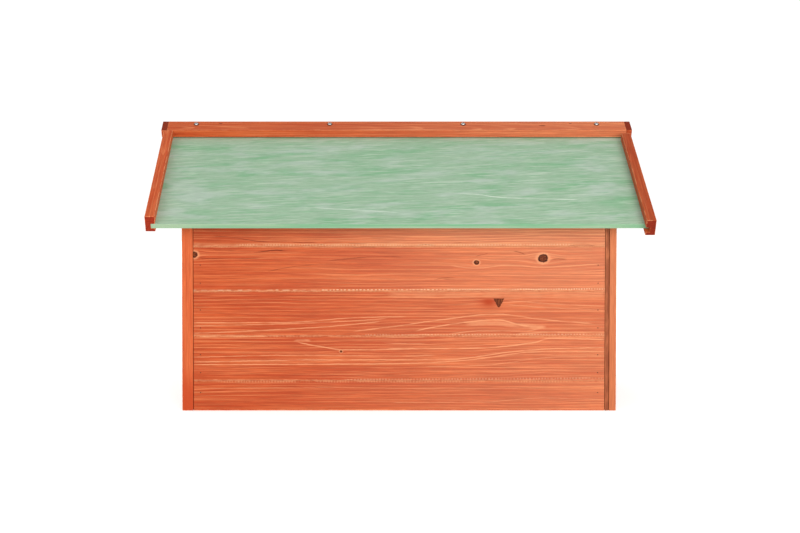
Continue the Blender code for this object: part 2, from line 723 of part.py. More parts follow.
def run_door(wood, zinc):
    x_low, x_high = RUN_DOOR_X
    depth = (FRONT_Y, FRONT_Y + DOOR_THICKNESS)
    width = DOOR_FRAME_WIDTH
    inner_x = (x_low + width + CLEARANCE, x_high - width - CLEARANCE)
    whole_z = (DOOR_Z, DOOR_TOP)
    pieces = [
        add_box("run_door_stile_hinge", (x_high - width, x_high), depth, whole_z, wood, EDGE_SOFTENING),
        add_box("run_door_stile_latch", (x_low, x_low + width), depth, whole_z, wood, EDGE_SOFTENING),
        add_box("run_door_rail_low", inner_x, depth, (DOOR_Z, DOOR_Z + width), wood, EDGE_SOFTENING),
        add_box("run_door_rail_high", inner_x, depth, (DOOR_TOP - width, DOOR_TOP), wood, EDGE_SOFTENING),
    ]
    grid_x = (x_low + width - MESH_LAP, x_high - width + MESH_LAP)
    grid_z = (DOOR_Z + width - MESH_LAP, DOOR_TOP - width + MESH_LAP)
    grid_y = (depth[1] + CLEARANCE, depth[1] + CLEARANCE + MESH_WIRE)
    grid = wire_grid_shape(grid_x, grid_y, grid_z, MESH_PITCH, MESH_WIRE)
    pieces.append(place_object("run_door_mesh", grid, zinc))
    return pieces


def hinge(name, axis_x, door_side, low, steel):
    # Butt hinge with its pin upright at axis_x. door_side is 1 where the door lies towards +X.
    knuckle = (HINGE_HEIGHT - 2 * CLEARANCE) / 3
    middle_z = (low + knuckle + CLEARANCE, low + 2 * knuckle + CLEARANCE)
    outer_z = ((low, low + knuckle), (low + HINGE_HEIGHT - knuckle, low + HINGE_HEIGHT))
    whole_z = (low, low + HINGE_HEIGHT)
    leaf_y = (FRONT_Y - CLEARANCE - LEAF_THICKNESS, FRONT_Y - CLEARANCE)
    near = KNUCKLE_RADIUS + 2 * CLEARANCE
    centre = (axis_x, AXIS_Y)

    def span(first, second, toward):
        return tuple(sorted((axis_x + toward * first, axis_x + toward * second)))

    fixed = add_box(name + "_fixed", span(near, HINGE_LEAF, -door_side), leaf_y, whole_z, steel)
    tools = []
    for part, knuckle_z in enumerate(outer_z):
        tab = span(0.0, near + CUT_MARGIN, -door_side)
        tools.append(add_box("%s_tab_%d" % (name, part), tab, leaf_y, knuckle_z, steel))
        tools.append(add_rod("%s_knuckle_%d" % (name, part), centre, KNUCKLE_RADIUS, knuckle_z, steel))
    pin_z = (low + knuckle / 2, low + HINGE_HEIGHT - knuckle / 2)
    tools.append(add_rod(name + "_pin", centre, PIN_RADIUS, pin_z, steel))
    combine(fixed, tools, "UNION")

    moving = add_box(name + "_moving", span(near, HINGE_LEAF, door_side), leaf_y, whole_z, steel)
    tab = add_box(name + "_door_tab", span(0.0, near + CUT_MARGIN, door_side), leaf_y, middle_z, steel)
    barrel = add_rod(name + "_door_knuckle", centre, KNUCKLE_RADIUS, middle_z, steel)
    combine(moving, [tab, barrel], "UNION")
    bore_z = (middle_z[0] - CUT_MARGIN, middle_z[1] + CUT_MARGIN)
    bore = add_rod(name + "_bore", centre, PIN_RADIUS + PIN_PLAY, bore_z, None)
    combine(moving, [bore], "DIFFERENCE")
    return moving


def door_hinges(door_name, axis_x, door_side, steel):
    low = DOOR_Z + HINGE_FROM_END
    high = DOOR_TOP - HINGE_FROM_END - HINGE_HEIGHT
    return [
        hinge(door_name + "_hinge_low", axis_x, door_side, low, steel),
        hinge(door_name + "_hinge_high", axis_x, door_side, high, steel),
    ]


def turn_button(name, x, wood, steel):
    # Hangs straight down from its screw, clear of the doors, and turns a quarter to hold one shut.
    radius = BUTTON_WIDTH / 2
    top = round_points((x, BUTTON_Z), radius, 0.0, math.pi, ROUND_STEPS // 2)
    bottom = round_points((x, BUTTON_Z - BUTTON_REACH), radius, math.pi, 2 * math.pi, ROUND_STEPS // 2)
    back = FRONT_Y - CLEARANCE
    button = add_prism(name, top + bottom, 1, back - BUTTON_THICKNESS, back, wood)
    profile = [(0.0, -BUTTON_THICKNESS / 2), (BUTTON_HEAD_RADIUS, -BUTTON_THICKNESS / 2)]
    profile += dome_profile(BUTTON_HEAD_RADIUS, BUTTON_HEAD_HEIGHT, BUTTON_DOME_STEPS)
    mesh = bpy.data.meshes.new(name + "_head")
    shape = lathe_shape(profile, ROUND_STEPS)
    shape.to_mesh(mesh)
    shape.free()
    mesh.materials.append(steel)
    head = bpy.data.objects.new(name + "_head", mesh)
    head.location = (x, back - BUTTON_THICKNESS, BUTTON_Z)
    head.rotation_euler = (math.radians(90.0), 0.0, 0.0)
    bpy.context.scene.collection.objects.link(head)
    combine(button, [head], "UNION")
    hang_on(name + "_pivot", (x, FRONT_Y, BUTTON_Z), [button])


def build_doors(wood, zinc, steel):
    nest_pieces = nest_door(wood) + door_hinges("nest", NEST_AXIS_X, 1, steel)
    hang_on("nest_door_axis", (NEST_AXIS_X, AXIS_Y, DOOR_Z), nest_pieces)
    run_pieces = run_door(wood, zinc) + door_hinges("run", RUN_AXIS_X, -1, steel)
    hang_on("run_door_axis", (RUN_AXIS_X, AXIS_Y, DOOR_Z), run_pieces)
    turn_button("turn_button_nest", STILE_X - BUTTON_SPACING / 2, wood, steel)
    turn_button("turn_button_run", STILE_X + BUTTON_SPACING / 2, wood, steel)


def main():
    clear_scene()
    wood = make_finish("stained fir", (0.64, 0.16, 0.06), 0.55, 0.0)
    green = make_finish("green roof board", (0.30, 0.46, 0.29), 0.6, 0.0)
    zinc = make_finish("galvanised steel", (0.60, 0.61, 0.62), 0.4, 1.0)
    steel = make_finish("bright steel", (0.66, 0.65, 0.63), 0.3, 1.0)
    build_roof(wood, green, steel)
    build_walls(wood)
    build_front_frame(wood)
    build_floor(wood)
    build_partition(wood)
    build_tray(wood, zinc, steel)
    build_doors(wood, zinc, steel)


main()
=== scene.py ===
import math

import bmesh
import bpy
from mathutils import Matrix, Vector


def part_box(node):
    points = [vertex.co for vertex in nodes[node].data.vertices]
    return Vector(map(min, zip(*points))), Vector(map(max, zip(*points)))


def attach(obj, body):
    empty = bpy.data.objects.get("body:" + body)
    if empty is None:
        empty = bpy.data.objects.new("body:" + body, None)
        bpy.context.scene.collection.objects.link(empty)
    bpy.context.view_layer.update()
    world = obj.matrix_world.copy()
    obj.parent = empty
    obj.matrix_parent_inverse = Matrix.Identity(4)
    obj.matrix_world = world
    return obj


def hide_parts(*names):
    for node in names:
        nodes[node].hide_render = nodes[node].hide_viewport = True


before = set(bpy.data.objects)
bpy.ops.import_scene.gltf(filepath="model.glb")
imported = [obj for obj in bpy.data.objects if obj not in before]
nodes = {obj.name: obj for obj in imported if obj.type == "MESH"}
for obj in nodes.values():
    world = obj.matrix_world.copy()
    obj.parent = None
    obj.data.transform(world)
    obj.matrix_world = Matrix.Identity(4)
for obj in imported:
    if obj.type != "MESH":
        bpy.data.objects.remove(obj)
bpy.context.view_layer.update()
xAxis = Vector((1.0, 0.0, 0.0))
yAxis = Vector((0.0, 1.0, 0.0))
zAxis = Vector((0.0, 0.0, 1.0))
print("frame loaded:", len(nodes), "nodes")

roofPitch = math.radians(30.0)


def slopeAxes(side):
    # along the slope to the eave, and out of the roof; side is 1 at the back and -1 at the front
    down = Vector((0.0, side * math.cos(roofPitch), -math.sin(roofPitch)))
    out = Vector((0.0, side * math.sin(roofPitch), math.cos(roofPitch)))
    return down, out


def tone(red, green, blue):
    # screen values 0 to 255, turned into the linear colour that the shaders use
    linear = []
    for value in (red, green, blue):
        share = value / 255.0
        if share <= 0.04045:
            linear.append(share / 12.92)
        else:
            linear.append(((share + 0.055) / 1.055) ** 2.4)
    return (*linear, 1.0)


def scaled(colour, amount):
    return (colour[0] * amount, colour[1] * amount, colour[2] * amount, 1.0)


class Signal:
    # what leaves one node of a shader; arithmetic with it adds the math nodes
    def __init__(self, tree, socket):
        self.tree = tree
        self.socket = socket

    def __add__(self, other):
        return mathNode("ADD", self, other)

    def __sub__(self, other):
        return mathNode("SUBTRACT", self, other)

    def __rsub__(self, other):
        return mathNode("SUBTRACT", other, self)

    def __mul__(self, other):
        return mathNode("MULTIPLY", self, other)

    def __truediv__(self, other):
        return mathNode("DIVIDE", self, other)

    def __abs__(self):
        return mathNode("ABSOLUTE", self)


def addNode(tree, kind, **settings):
    made = tree.nodes.new(kind)
    for name, value in settings.items():
        setattr(made, name, value)
    return made


def feed(socket, value):
    # a signal is linked, anything else is set as the socket's own value
    if isinstance(value, Signal):
        value.tree.links.new(value.socket, socket)
    else:
        socket.default_value = value


def feedAll(made, **values):
    # sockets by their labels, with _ for a space
    for label, value in values.items():
        feed(made.inputs[label.replace("_", " ")], value)


def feedInOrder(kind, values, **settings):
    tree = next(value.tree for value in values if isinstance(value, Signal))
    made = addNode(tree, kind, **settings)
    for socket, value in zip(made.inputs, values):
        feed(socket, value)
    return Signal(tree, made.outputs[0])


def mathNode(operation, *values):
    return feedInOrder("ShaderNodeMath", values, operation=operation)


def vectorNode(operation, *values):
    return feedInOrder("ShaderNodeVectorMath", values, operation=operation)


def joinAxes(*values):
    return feedInOrder("ShaderNodeCombineXYZ", values)


def split(vector):
    made = addNode(vector.tree, "ShaderNodeSeparateXYZ")
    feed(made.inputs[0], vector)
    return [Signal(vector.tree, socket) for socket in made.outputs]


def between(value, low, high, startAt=0.0, endAt=1.0):
    # smooth ramp from startAt to endAt as value goes from low to high
    made = addNode(value.tree, "ShaderNodeMapRange", interpolation_type="SMOOTHSTEP")
    feedAll(made, Value=value, From_Min=low, From_Max=high, To_Min=startAt, To_Max=endAt)
    return Signal(value.tree, made.outputs["Result"])


def blend(share, first, second, mode="MIX"):
    tree = next(value.tree for value in (share, first, second) if isinstance(value, Signal))
    made = addNode(tree, "ShaderNodeMix", data_type="RGBA", blend_type=mode)
    for place, value in ((0, share), (6, first), (7, second)):  # factor, and the two colour sockets
        feed(made.inputs[place], value)
    return Signal(tree, made.outputs[2])


def speckled(colour, speck):
    return blend(1.0, colour, joinAxes(speck, speck, speck), "MULTIPLY")


def noise(vector, fineness, detail=2.0, roughness=0.5, distortion=0.0):
    # fineness in features per metre: one number, or one along each axis
    if isinstance(fineness, tuple):
        vector = vectorNode("MULTIPLY", vector, fineness)
        fineness = 1.0
    made = addNode(vector.tree, "ShaderNodeTexNoise", noise_dimensions="3D")
    feedAll(made, Vector=vector, Scale=fineness, Detail=detail, Roughness=roughness, Distortion=distortion)
    return Signal(vector.tree, made.outputs[0])


socketKinds = {"Vector": "NodeSocketVector", "Color": "NodeSocketColor"}


def openGroup(name, inputs, outputs):
    # inputs give each label its usual value: none or three numbers for a vector, four for a colour
    group = bpy.data.node_groups.new(name, "ShaderNodeTree")
    for label, value in inputs.items():
        kind = "NodeSocketFloat"
        if value is None or isinstance(value, tuple):
            kind = "NodeSocketColor" if value and len(value) == 4 else "NodeSocketVector"
        socket = group.interface.new_socket(label, in_out="INPUT", socket_type=kind)
        if value is not None:
            socket.default_value = value
    for label in outputs:
        kind = socketKinds.get(label, "NodeSocketFloat")
        group.interface.new_socket(label, in_out="OUTPUT", socket_type=kind)
    entry = addNode(group, "NodeGroupInput")
    given = {label: Signal(group, entry.outputs[label]) for label in inputs}
    return group, given, addNode(group, "NodeGroupOutput")


def placeGroup(group, **values):
    tree = values["Vector"].tree
    made = addNode(tree, "ShaderNodeGroup", node_tree=group)
    feedAll(made, **values)
    return {socket.name: Signal(tree, socket) for socket in made.outputs}


grainFineness = {  # features per metre: along the grain, across it and through it
    "sway": (3.2, 9.0, 9.0),
    "ripple": (14.0, 60.0, 60.0),
    "patch": (4.0, 40.0, 40.0),
    "fibre": (26.0, 900.0, 900.0),
    "strand": (5.0, 300.0, 300.0),
    "broad": (3.0, 16.0, 16.0),
    "wisp": (2.5, 480.0, 480.0),
    "pores": (300.0, 420.0, 420.0),
    "knot": (260.0, 260.0, 60.0),
    "wear": (55.0, 160.0, 160.0),
}


def buildFirGrain():
    # flat-sawn fir: growth rings round a far-off heart, pale late wood, fibres, and red end grain
    endRed = tone(128, 38, 18)
    group, given, result = openGroup(
        "firGrain",
        {
            "Vector": None,
            "End Facing": 0.0,
            "Seed": 0.0,
            "Heart Depth": 0.05,
            "Heart Offset": 0.0,
            "Taper": 0.02,
            "Ring Width": 0.004,
            "Sway": 0.010,
            "Early": tone(200, 92, 52),
            "Late": tone(240, 150, 108),
            "Deep": tone(176, 66, 34),
            "End": endRed,
            "Contrast": 1.0,
        },
        ("Color", "Roughness", "Height"),
    )
    early, late, deep = given["Early"], given["Late"], given["Deep"]
    seed = given["Seed"] * 7.31  # sets the pieces well apart in the noise
    moved = vectorNode("ADD", given["Vector"], joinAxes(seed, seed, seed))
    x, y, z = split(given["Vector"])
    sway = (noise(moved, grainFineness["sway"], 2.0, 0.45) - 0.5) * given["Sway"]
    ripple = noise(moved, grainFineness["ripple"]) - 0.5
    across = sway * 2.0 + (y - given["Heart Offset"]) + ripple * 0.003
    depth = x * given["Taper"] + given["Heart Depth"] + z + sway
    years = mathNode("SQRT", across * across + depth * depth) / given["Ring Width"]
    uneven = noise(joinAxes(years * 0.37, seed, 0.0), 1.0, 1.0)  # wide and narrow years
    season = mathNode("FRACT", uneven * 2.2 + years)
    rise = between(season, 0.58, 0.90)
    fall = between(season, 0.93, 1.0, 1.0, 0.0)
    patch = noise(moved, grainFineness["patch"], 3.0, 0.6)
    band = rise * fall * between(patch, 0.36, 0.64, 0.05, 1.0)
    fibre = noise(moved, grainFineness["fibre"], 3.0, 0.6)
    strand = noise(moved, grainFineness["strand"], 2.0, 0.6)
    broad = noise(moved, grainFineness["broad"], 3.0, 0.6)
    colour = blend(between(broad, 0.36, 0.68, 0.0, 0.75), early, deep)
    colour = blend(between(strand, 0.42, 0.60, 0.0, 0.7), colour, deep)
    colour = blend(band * given["Contrast"], colour, late)
    wisp = noise(moved, grainFineness["wisp"], 2.0, 0.7)
    colour = blend(between(wisp, 0.54, 0.64, 0.0, 0.8) * given["Contrast"], colour, late)
    colour = speckled(colour, between(fibre, 0.30, 0.70, 0.82, 1.13))
    pores = noise(moved, grainFineness["pores"], 3.0, 0.7)
    endTone = blend(rise * 0.45, given["End"], deep)
    endTone = blend(between(pores, 0.42, 0.70, 0.0, 0.6), endTone, scaled(endRed, 0.45))
    cut = between(given["End Facing"], 0.72, 0.92)
    feedAll(
        result,
        Color=blend(cut, colour, endTone),
        Roughness=cut * 0.18 + (fibre * 0.18 + 0.46),
        Height=strand * 0.35 + (band * 0.5 + fibre * 0.45),
    )
    return group


def ovalSquare(across, along, narrowing):
    # squared distance from a middle, with the length along the grain drawn in
    short = along * narrowing
    return short * short + across * across


def buildKnotFlow():
    # bends the grain round a knot and gives its masks; the centre lies in the grain's own space
    group, given, result = openGroup(
        "knotFlow",
        {"Vector": None, "Centre": (0.0, 0.0, 0.0), "Radius": 0.006},
        ("Vector", "Core", "Rim", "Halo"),
    )
    dx, dy = split(vectorNode("SUBTRACT", given["Vector"], given["Centre"]))[:2]
    wander = noise(given["Vector"], grainFineness["knot"])
    reach = mathNode("SQRT", ovalSquare(dy, dx, 0.82)) / given["Radius"]
    reach = reach + (wander * 0.5 + -0.25)
    spread = mathNode("SQRT", ovalSquare(dy, dx, 0.42)) / given["Radius"]
    pull = mathNode("EXPONENT", spread * spread * -0.32)
    bent = vectorNode("ADD", given["Vector"], joinAxes(0.0, dy * pull * -0.92, 0.0))
    feedAll(
        result,
        Vector=bent,
        Core=between(reach, 0.86, 1.04, 1.0, 0.0),
        Rim=between(reach, 0.66, 0.92) * between(reach, 0.98, 1.20, 1.0, 0.0),
        Halo=between(reach, 1.00, 1.15) * between(reach, 1.30, 1.95, 1.0, 0.0),
    )
    return group


def buildEdgeWear():
    # rubbed arrises: high where two faces of a straight piece meet, broken up along the edge
    group, given, result = openGroup(
        "edgeWear",
        {"Vector": None, "Half Size": (1.0, 1.0, 1.0), "Width": 0.0015, "Seed": 0.0},
        ("Mask",),
    )
    size = vectorNode("ABSOLUTE", given["Vector"])
    gap = vectorNode("ABSOLUTE", vectorNode("SUBTRACT", given["Half Size"], size))
    a, b, c = split(gap)
    lower = mathNode("MINIMUM", a, b)
    upper = mathNode("MINIMUM", mathNode("MAXIMUM", a, b), c)
    edge = mathNode("MAXIMUM", lower, upper)  # the middle one of the three gaps
    moved = vectorNode("MULTIPLY", given["Vector"], grainFineness["wear"])
    seed = given["Seed"]
    broken = noise(vectorNode("ADD", moved, joinAxes(seed, seed, seed)), 1.0, 3.0, 0.6)
    limit = given["Width"] * between(broken, 0.34, 0.68, 0.25, 1.6)
    feedAll(result, Mask=between(edge / limit, 0.45, 1.0, 1.0, 0.0))
    return group


def buildChatterAndHighlight():
    # short cross ticks that a planer leaves along a board's tapered upper edge, over a band of painted
    # highlight where that edge catches the light
    group, given, result = openGroup(
        "planerChatterAndHighlight",
        {
            "Vector": None,
            "Top": 0.046,
            "Band": 0.004,
            "Pitch": 0.006,
            "Cover": 0.5,
            "Wave": 0.0,
            "Seed": 0.0,
        },
        ("Mask", "Tick"),
    )
    x, y = split(given["Vector"])[:2]
    seed = given["Seed"]
    wander = noise(joinAxes(x * 38.0, y * 90.0, seed), 1.0, 3.0, 0.6)
    below = given["Top"] - y + (wander - 0.5) * given["Wave"]
    inside = between(below / given["Band"], 0.60, 1.0, 1.0, 0.0)
    jitter = noise(joinAxes(x * 60.0, seed, 5.0), 1.0, 1.0)
    phase = jitter * 0.9 + x / given["Pitch"]
    tick = between(mathNode("SINE", phase * (2 * math.pi)), -0.6, 0.5)
    stretch = noise(joinAxes(x * 9.0, seed, 8.0), 1.0, 3.0, 0.6)
    low = (1.0 - given["Cover"]) * 0.4 + 0.22
    presence = between(stretch, low, low + 0.16)
    feedAll(result, Mask=inside * presence, Tick=inside * tick * presence)
    return group


def buildZincCoat():
    # crystals and fine rub marks of a zinc coat, for the wire, the tray and the fittings
    group, given, result = openGroup(
        "zincCoat",
        {
            "Vector": None,
            "Crystal": 90.0,
            "Light": (0.62, 0.63, 0.64, 1.0),
            "Dark": (0.42, 0.43, 0.45, 1.0),
            "Gloss": 0.32,
        },
        ("Color", "Roughness", "Height"),
    )
    cells = addNode(group, "ShaderNodeTexVoronoi", feature="F1")
    feedAll(cells, Vector=given["Vector"], Scale=given["Crystal"])
    flake = split(Signal(group, cells.outputs["Color"]))[0]
    cloud = noise(given["Vector"], 14.0, 3.0, 0.6)
    scratch = noise(given["Vector"], (60.0, 900.0, 900.0), 3.0, 0.7)
    feedAll(
        result,
        Color=blend(cloud * 0.5 + flake * 0.5, given["Dark"], given["Light"]),
        Roughness=scratch * 0.14 + (flake * 0.12 + given["Gloss"]),
        Height=scratch * 0.4 + flake * 0.2,
    )
    return group


firGrain = buildFirGrain()
knotFlow = buildKnotFlow()
edgeWear = buildEdgeWear()
planerChatterAndHighlight = buildChatterAndHighlight()
zincCoat = buildZincCoat()
print("node groups ready")


def newMaterial(name):
    material = bpy.data.materials.new(name)
    material.use_nodes = True
    return material, material.node_tree, material.node_tree.nodes["Principled BSDF"]


def finishSurface(shader, colour, roughness, height, strength, distance):
    bump = addNode(colour.tree, "ShaderNodeBump")
    feedAll(bump, Strength=strength, Distance=distance, Height=height)
    feedAll(shader, Base_Color=colour, Roughness=roughness, Normal=Signal(colour.tree, bump.outputs[0]))


firTones = {
    "early": (211, 96, 49),
    "late": (243, 144, 92),
    "deep": (190, 70, 32),
    "end": (142, 38, 16),
    "worn": (251, 170, 120),
    # tone of the painted highlight on the seam chamfers
    "dash": (255, 214, 170),
    "knot": (100, 40, 12),
    "knotRim": (34, 6, 0),
    "knotHeart": (150, 76, 36),
    "crack": (96, 30, 12),
}
firLook = {  # the usual piece; any value may be changed for one piece
    "heartDepth": 0.045,
    "heartWander": 0.012,  # how far hearts and tapers differ from piece to piece
    "taperWander": 0.03,
    "ringWidth": 0.0044,
    "sway": 0.010,
    "contrast": 0.62,
    "wear": 0.0013,
    "wearStrength": 0.55,
    "exposure": 0.68,  # how light the stain is under this studio's light
    "lift": 1.0,
    "sheenTone": (0.100, 0.088, 0.052, 1.0),  # painted sheen of a light from one side, added to the stain
    "sheenFade": None,  # painted sheen at the low and the high end of the grain axis
    "tones": {},
    "knots": [],
    "lines": [],
    "cracks": [],
    "seamHighlightRows": [],
    "wedge": None,
    "chatterAndHighlight": None,
    "foot": 0.0,
    "footFade": (0.03, 0.10),  # heights between which a post's darker foot fades out
    "endsPast": 0.0,  # keeps the wear off the ends of boards that run behind a post
    "tickDepth": -1.2,
    "halo": 0.60,  # how strongly a knot's pale ring and its dark rim show
    "rim": 0.9,
    "mottleFineness": 330.0,
    "bump": 0.00022,
    "bumpStrength": 0.9,
    "gloss": 0.12,
}
# what each kind of mark is painted with, and how far it stands out or in
# the rows of beads paint highlights where the seam chamfers catch the light
markKinds = (("lines", "worn", 0.5), ("cracks", "crack", -1.0), ("seamHighlightRows", "dash", 0.0))


def stained(colour, lift=1.0):
    return scaled(tone(*colour), firLook["exposure"] * lift)


def grainSpace(tree, axes, middle):
    # object coordinates turned so that X runs along the grain and Y across the face
    spin = Matrix(axes)
    coords = addNode(tree, "ShaderNodeTexCoord")
    turned = []
    for label, shift in (("Object", -(spin @ middle)), ("Normal", Vector())):
        made = addNode(tree, "ShaderNodeMapping", vector_type="POINT")
        feedAll(made, Vector=Signal(tree, coords.outputs[label]))
        feedAll(made, Location=shift, Rotation=spin.to_euler("XYZ"))
        turned.append(Signal(tree, made.outputs[0]))
    return turned


def measure(points, axes):
    # middle in world axes and half size along the grain's own axes
    spin = Matrix(axes)
    turned = [spin @ point for point in points]
    low = Vector([min(p[i] for p in turned) for i in range(3)])
    high = Vector([max(p[i] for p in turned) for i in range(3)])
    return spin.inverted() @ ((low + high) / 2), (high - low) / 2


lineLook = {
    "waver": 0.0022,
    "fade": 0.02,
    "waverFineness": (45.0, 0.0, 0.0),
    "patchFineness": (22.0, 60.0, 0.0),
}


def grainLine(place, path, width, reach):
    # one drawn line of late wood, or a crack: path holds (along, across) points in the grain's space
    x, y = split(place)[:2]
    curve = addNode(place.tree, "ShaderNodeFloatCurve")
    feedAll(curve, Value=x * (0.5 / reach) + 0.5)
    ordered = sorted(path)
    points = curve.mapping.curves[0].points
    while len(points) < len(ordered):
        points.new(0.5, 0.5)
    for index, (along, over) in enumerate(ordered):
        points[index].location = (0.5 + along * 0.5 / reach, 0.5 + over * 0.5 / reach)
        points[index].handle_type = "AUTO_CLAMPED"
    curve.mapping.update()
    level = Signal(place.tree, curve.outputs[0]) * (2 * reach) + -reach
    level = noise(place, lineLook["waverFineness"], 2.0, 0.6) * lineLook["waver"] + level
    offset = abs(y + lineLook["waver"] / 2 - level)
    body = between(offset / width, 0.35, 1.0, 1.0, 0.0)
    patchy = noise(place, lineLook["patchFineness"], 2.0, 0.6)
    body = body * between(patchy, 0.34, 0.56, 0.45, 1.0)
    start, finish = ordered[0][0], ordered[-1][0]
    fade = min(lineLook["fade"], (finish - start) / 4)
    opening = between(x, start, start + fade)
    return body * (opening * between(x, finish - fade, finish, 1.0, 0.0))


def edgeBeads(place, pitch, seed):
    # beads of painted highlight along a planed edge's chamfer, running together in places
    x = split(place)[0]
    jitter = noise(joinAxes(x * 24.0, seed, 3.0), 1.0, 2.0, 0.6)
    wave = mathNode("SINE", (jitter * 2.2 + x / pitch) * (2 * math.pi))
    stretch = noise(joinAxes(x * 12.0, seed, 6.0), 1.0, 3.0, 0.6)
    runTogether = between(stretch, 0.50, 0.60, 0.0, 0.55)
    beads = mathNode("MAXIMUM", between(wave, -0.7, 0.6), runTogether)
    return beads * between(stretch, 0.34, 0.44, 0.30, 1.0)


wedgeLook = {
    "roughFineness": (240.0, 240.0, 1.0),
    "stripeFineness": (420.0, 90.0, 1.0),
    "rough": 0.008,  # how far the sides wander
    "bow": 0.75,  # below 1 the sides bow outwards
    "rim": 0.0036,
    "sunk": -0.6,
}


def wedgeKnot(place, colour, height, wedge, local, shade):
    # a spike knot cut lengthwise: a dark wedge hanging from a flat top, with a red flame beside it
    tip = local(wedge["tip"])
    top = local((wedge["tip"][0], wedge["top"])).y
    flame = local(wedge["flame"])
    x, y = split(place)[:2]
    rough = noise(place, wedgeLook["roughFineness"], 3.0, 0.7)
    stripes = noise(place, wedgeLook["stripeFineness"], 3.0, 0.7)
    redX = (x - flame.x) / wedge["flameSize"][0]
    redY = (y - flame.y) / wedge["flameSize"][1]
    red = mathNode("EXPONENT", (redX * redX + redY * redY) * -1.0)
    red = red * between(y, top - 0.001, top + 0.0015, 1.0, 0.0)
    colour = blend(red, colour, shade("deep"))
    share = (y - tip.y) / (top - tip.y)
    side = mathNode("POWER", mathNode("MAXIMUM", share, 0.0), wedgeLook["bow"]) * wedge["side"]
    side = (rough - 0.5) * wedgeLook["rough"] + side
    past = abs(x - tip.x) - side
    inside = between(past, -0.0010, 0.0004, 1.0, 0.0)
    inside = inside * between(y, top - 0.0006, top + 0.0004, 1.0, 0.0)
    inside = inside * between(share, 0.0, 0.08)
    rim = inside * between(past, -wedgeLook["rim"], -wedgeLook["rim"] / 3)
    core = blend(between(stripes, 0.42, 0.66), shade("knot"), shade("knotHeart"))
    colour = blend(rim, blend(inside, colour, core), shade("knot"))
    return colour, inside * wedgeLook["sunk"] + height


def firMaterial(name, axes, middle, half, seed, **change):
    # one piece's own stained fir: its grain runs along the first axis
    look = {
        **firLook,
        "heartOffset": firLook["heartWander"] * math.sin(seed * 5.1),
        "taper": firLook["taperWander"] * math.cos(seed * 3.3),
        **change,
    }

    def shade(key):
        return look["tones"][key] if key in look["tones"] else stained(firTones[key], look["lift"])

    def local(place):
        # a point given as world (x, z), in the grain's own space
        return Matrix(axes) @ (Vector((place[0], middle.y, place[1])) - middle)

    material, tree, shader = newMaterial(name)
    place, facing = grainSpace(tree, axes, middle)
    along = split(place)[0]
    grainPlace = place
    knots = []
    for centre, radius in look["knots"]:
        spot = local(centre)
        knots.append(placeGroup(knotFlow, Vector=grainPlace, Centre=(spot.x, spot.y, 0.0), Radius=radius))
        grainPlace = knots[-1]["Vector"]
    grain = placeGroup(
        firGrain,
        Vector=grainPlace,
        End_Facing=abs(split(facing)[0]),
        Seed=seed,
        Heart_Depth=look["heartDepth"],
        Heart_Offset=look["heartOffset"],
        Taper=look["taper"],
        Ring_Width=look["ringWidth"],
        Sway=look["sway"],
        Early=shade("early"),
        Late=shade("late"),
        Deep=shade("deep"),
        End=shade("end"),
        Contrast=look["contrast"],
    )
    colour, height = grain["Color"], grain["Height"]
    if look["sheenFade"]:
        # painted sheen: paler towards the end of the piece that faces the side light
        sheen = between(along, -half.x, half.x, *look["sheenFade"])
        colour = blend(sheen, colour, look["sheenTone"], "ADD")
    for kind, paint, rise in markKinds:
        for path, width, strength, *pitch in look[kind]:
            spots = [local(spot) for spot in path]
            line = grainLine(place, [(spot.x, spot.y) for spot in spots], width, half.x)
            if pitch:
                line = line * edgeBeads(place, pitch[0], seed)
            colour = blend(line * strength, colour, shade(paint))
            if rise:
                height = line * rise + height
    if look["foot"]:
        low, high = look["footFade"]
        colour = blend(between(along, low - half.x, high - half.x, look["foot"], 0.0), colour, shade("foot"))
    if look["wedge"]:
        colour, height = wedgeKnot(place, colour, height, look["wedge"], local, shade)
    rubbed = tuple(half + Vector((look["endsPast"], 0.0, 0.0)))
    worn = placeGroup(edgeWear, Vector=place, Half_Size=rubbed, Width=look["wear"], Seed=seed)
    colour = blend(worn["Mask"] * look["wearStrength"], colour, shade("worn"))
    if look["chatterAndHighlight"]:
        marks = look["chatterAndHighlight"]
        ticks = placeGroup(
            planerChatterAndHighlight,
            Vector=place,
            Top=half.y,
            Band=marks["band"],
            Pitch=marks["pitch"],
            Cover=marks["cover"],
            Wave=marks["wave"],
            Seed=seed,
        )
        # the band's base share is painted highlight on the chamfer; the ticks are planer marks
        share = ticks["Tick"] * marks["tick"] + ticks["Mask"] * marks["base"]
        colour = blend(share, colour, shade("worn"))
        height = ticks["Tick"] * look["tickDepth"] + height
    for knot in knots:
        colour = blend(knot["Halo"] * look["halo"], colour, shade("worn"))
        mottle = noise(place, look["mottleFineness"], 3.0, 0.7)
        core = blend(between(mottle, 0.46, 0.62), shade("knot"), shade("knotHeart"))
        colour = blend(knot["Core"], colour, core)
        colour = blend(knot["Rim"] * look["rim"], colour, shade("knotRim"))
    finishSurface(shader, colour, grain["Roughness"], height, look["bumpStrength"], look["bump"])
    feedAll(shader, Specular_IOR_Level=look["gloss"])
    return material


rounding = {"weldGap": 0.00002, "flatWithin": math.radians(1.0), "sharperThan": math.radians(25.0)}


def roundOver(item, width, segments=3):
    # welds the imported triangles into plain faces, then rounds the arrises
    weld = item.modifiers.new("weld", "WELD")
    weld.merge_threshold = rounding["weldGap"]
    flat = item.modifiers.new("flat faces", "DECIMATE")
    flat.decimate_type = "DISSOLVE"
    flat.angle_limit = rounding["flatWithin"]
    bevel = item.modifiers.new("arris", "BEVEL")
    bevel.width = width
    bevel.segments = segments
    bevel.limit_method = "ANGLE"
    bevel.angle_limit = rounding["sharperThan"]
    bevel.harden_normals = True
    item.data.shade_smooth()
    smooth = item.modifiers.new("even shading", "WEIGHTED_NORMAL")
    smooth.keep_sharp = True


def setMaterial(item, material):
    item.data.materials.clear()
    item.data.materials.append(material)


def worldPoints(item):
    return [vert.co.copy() for vert in item.data.vertices]


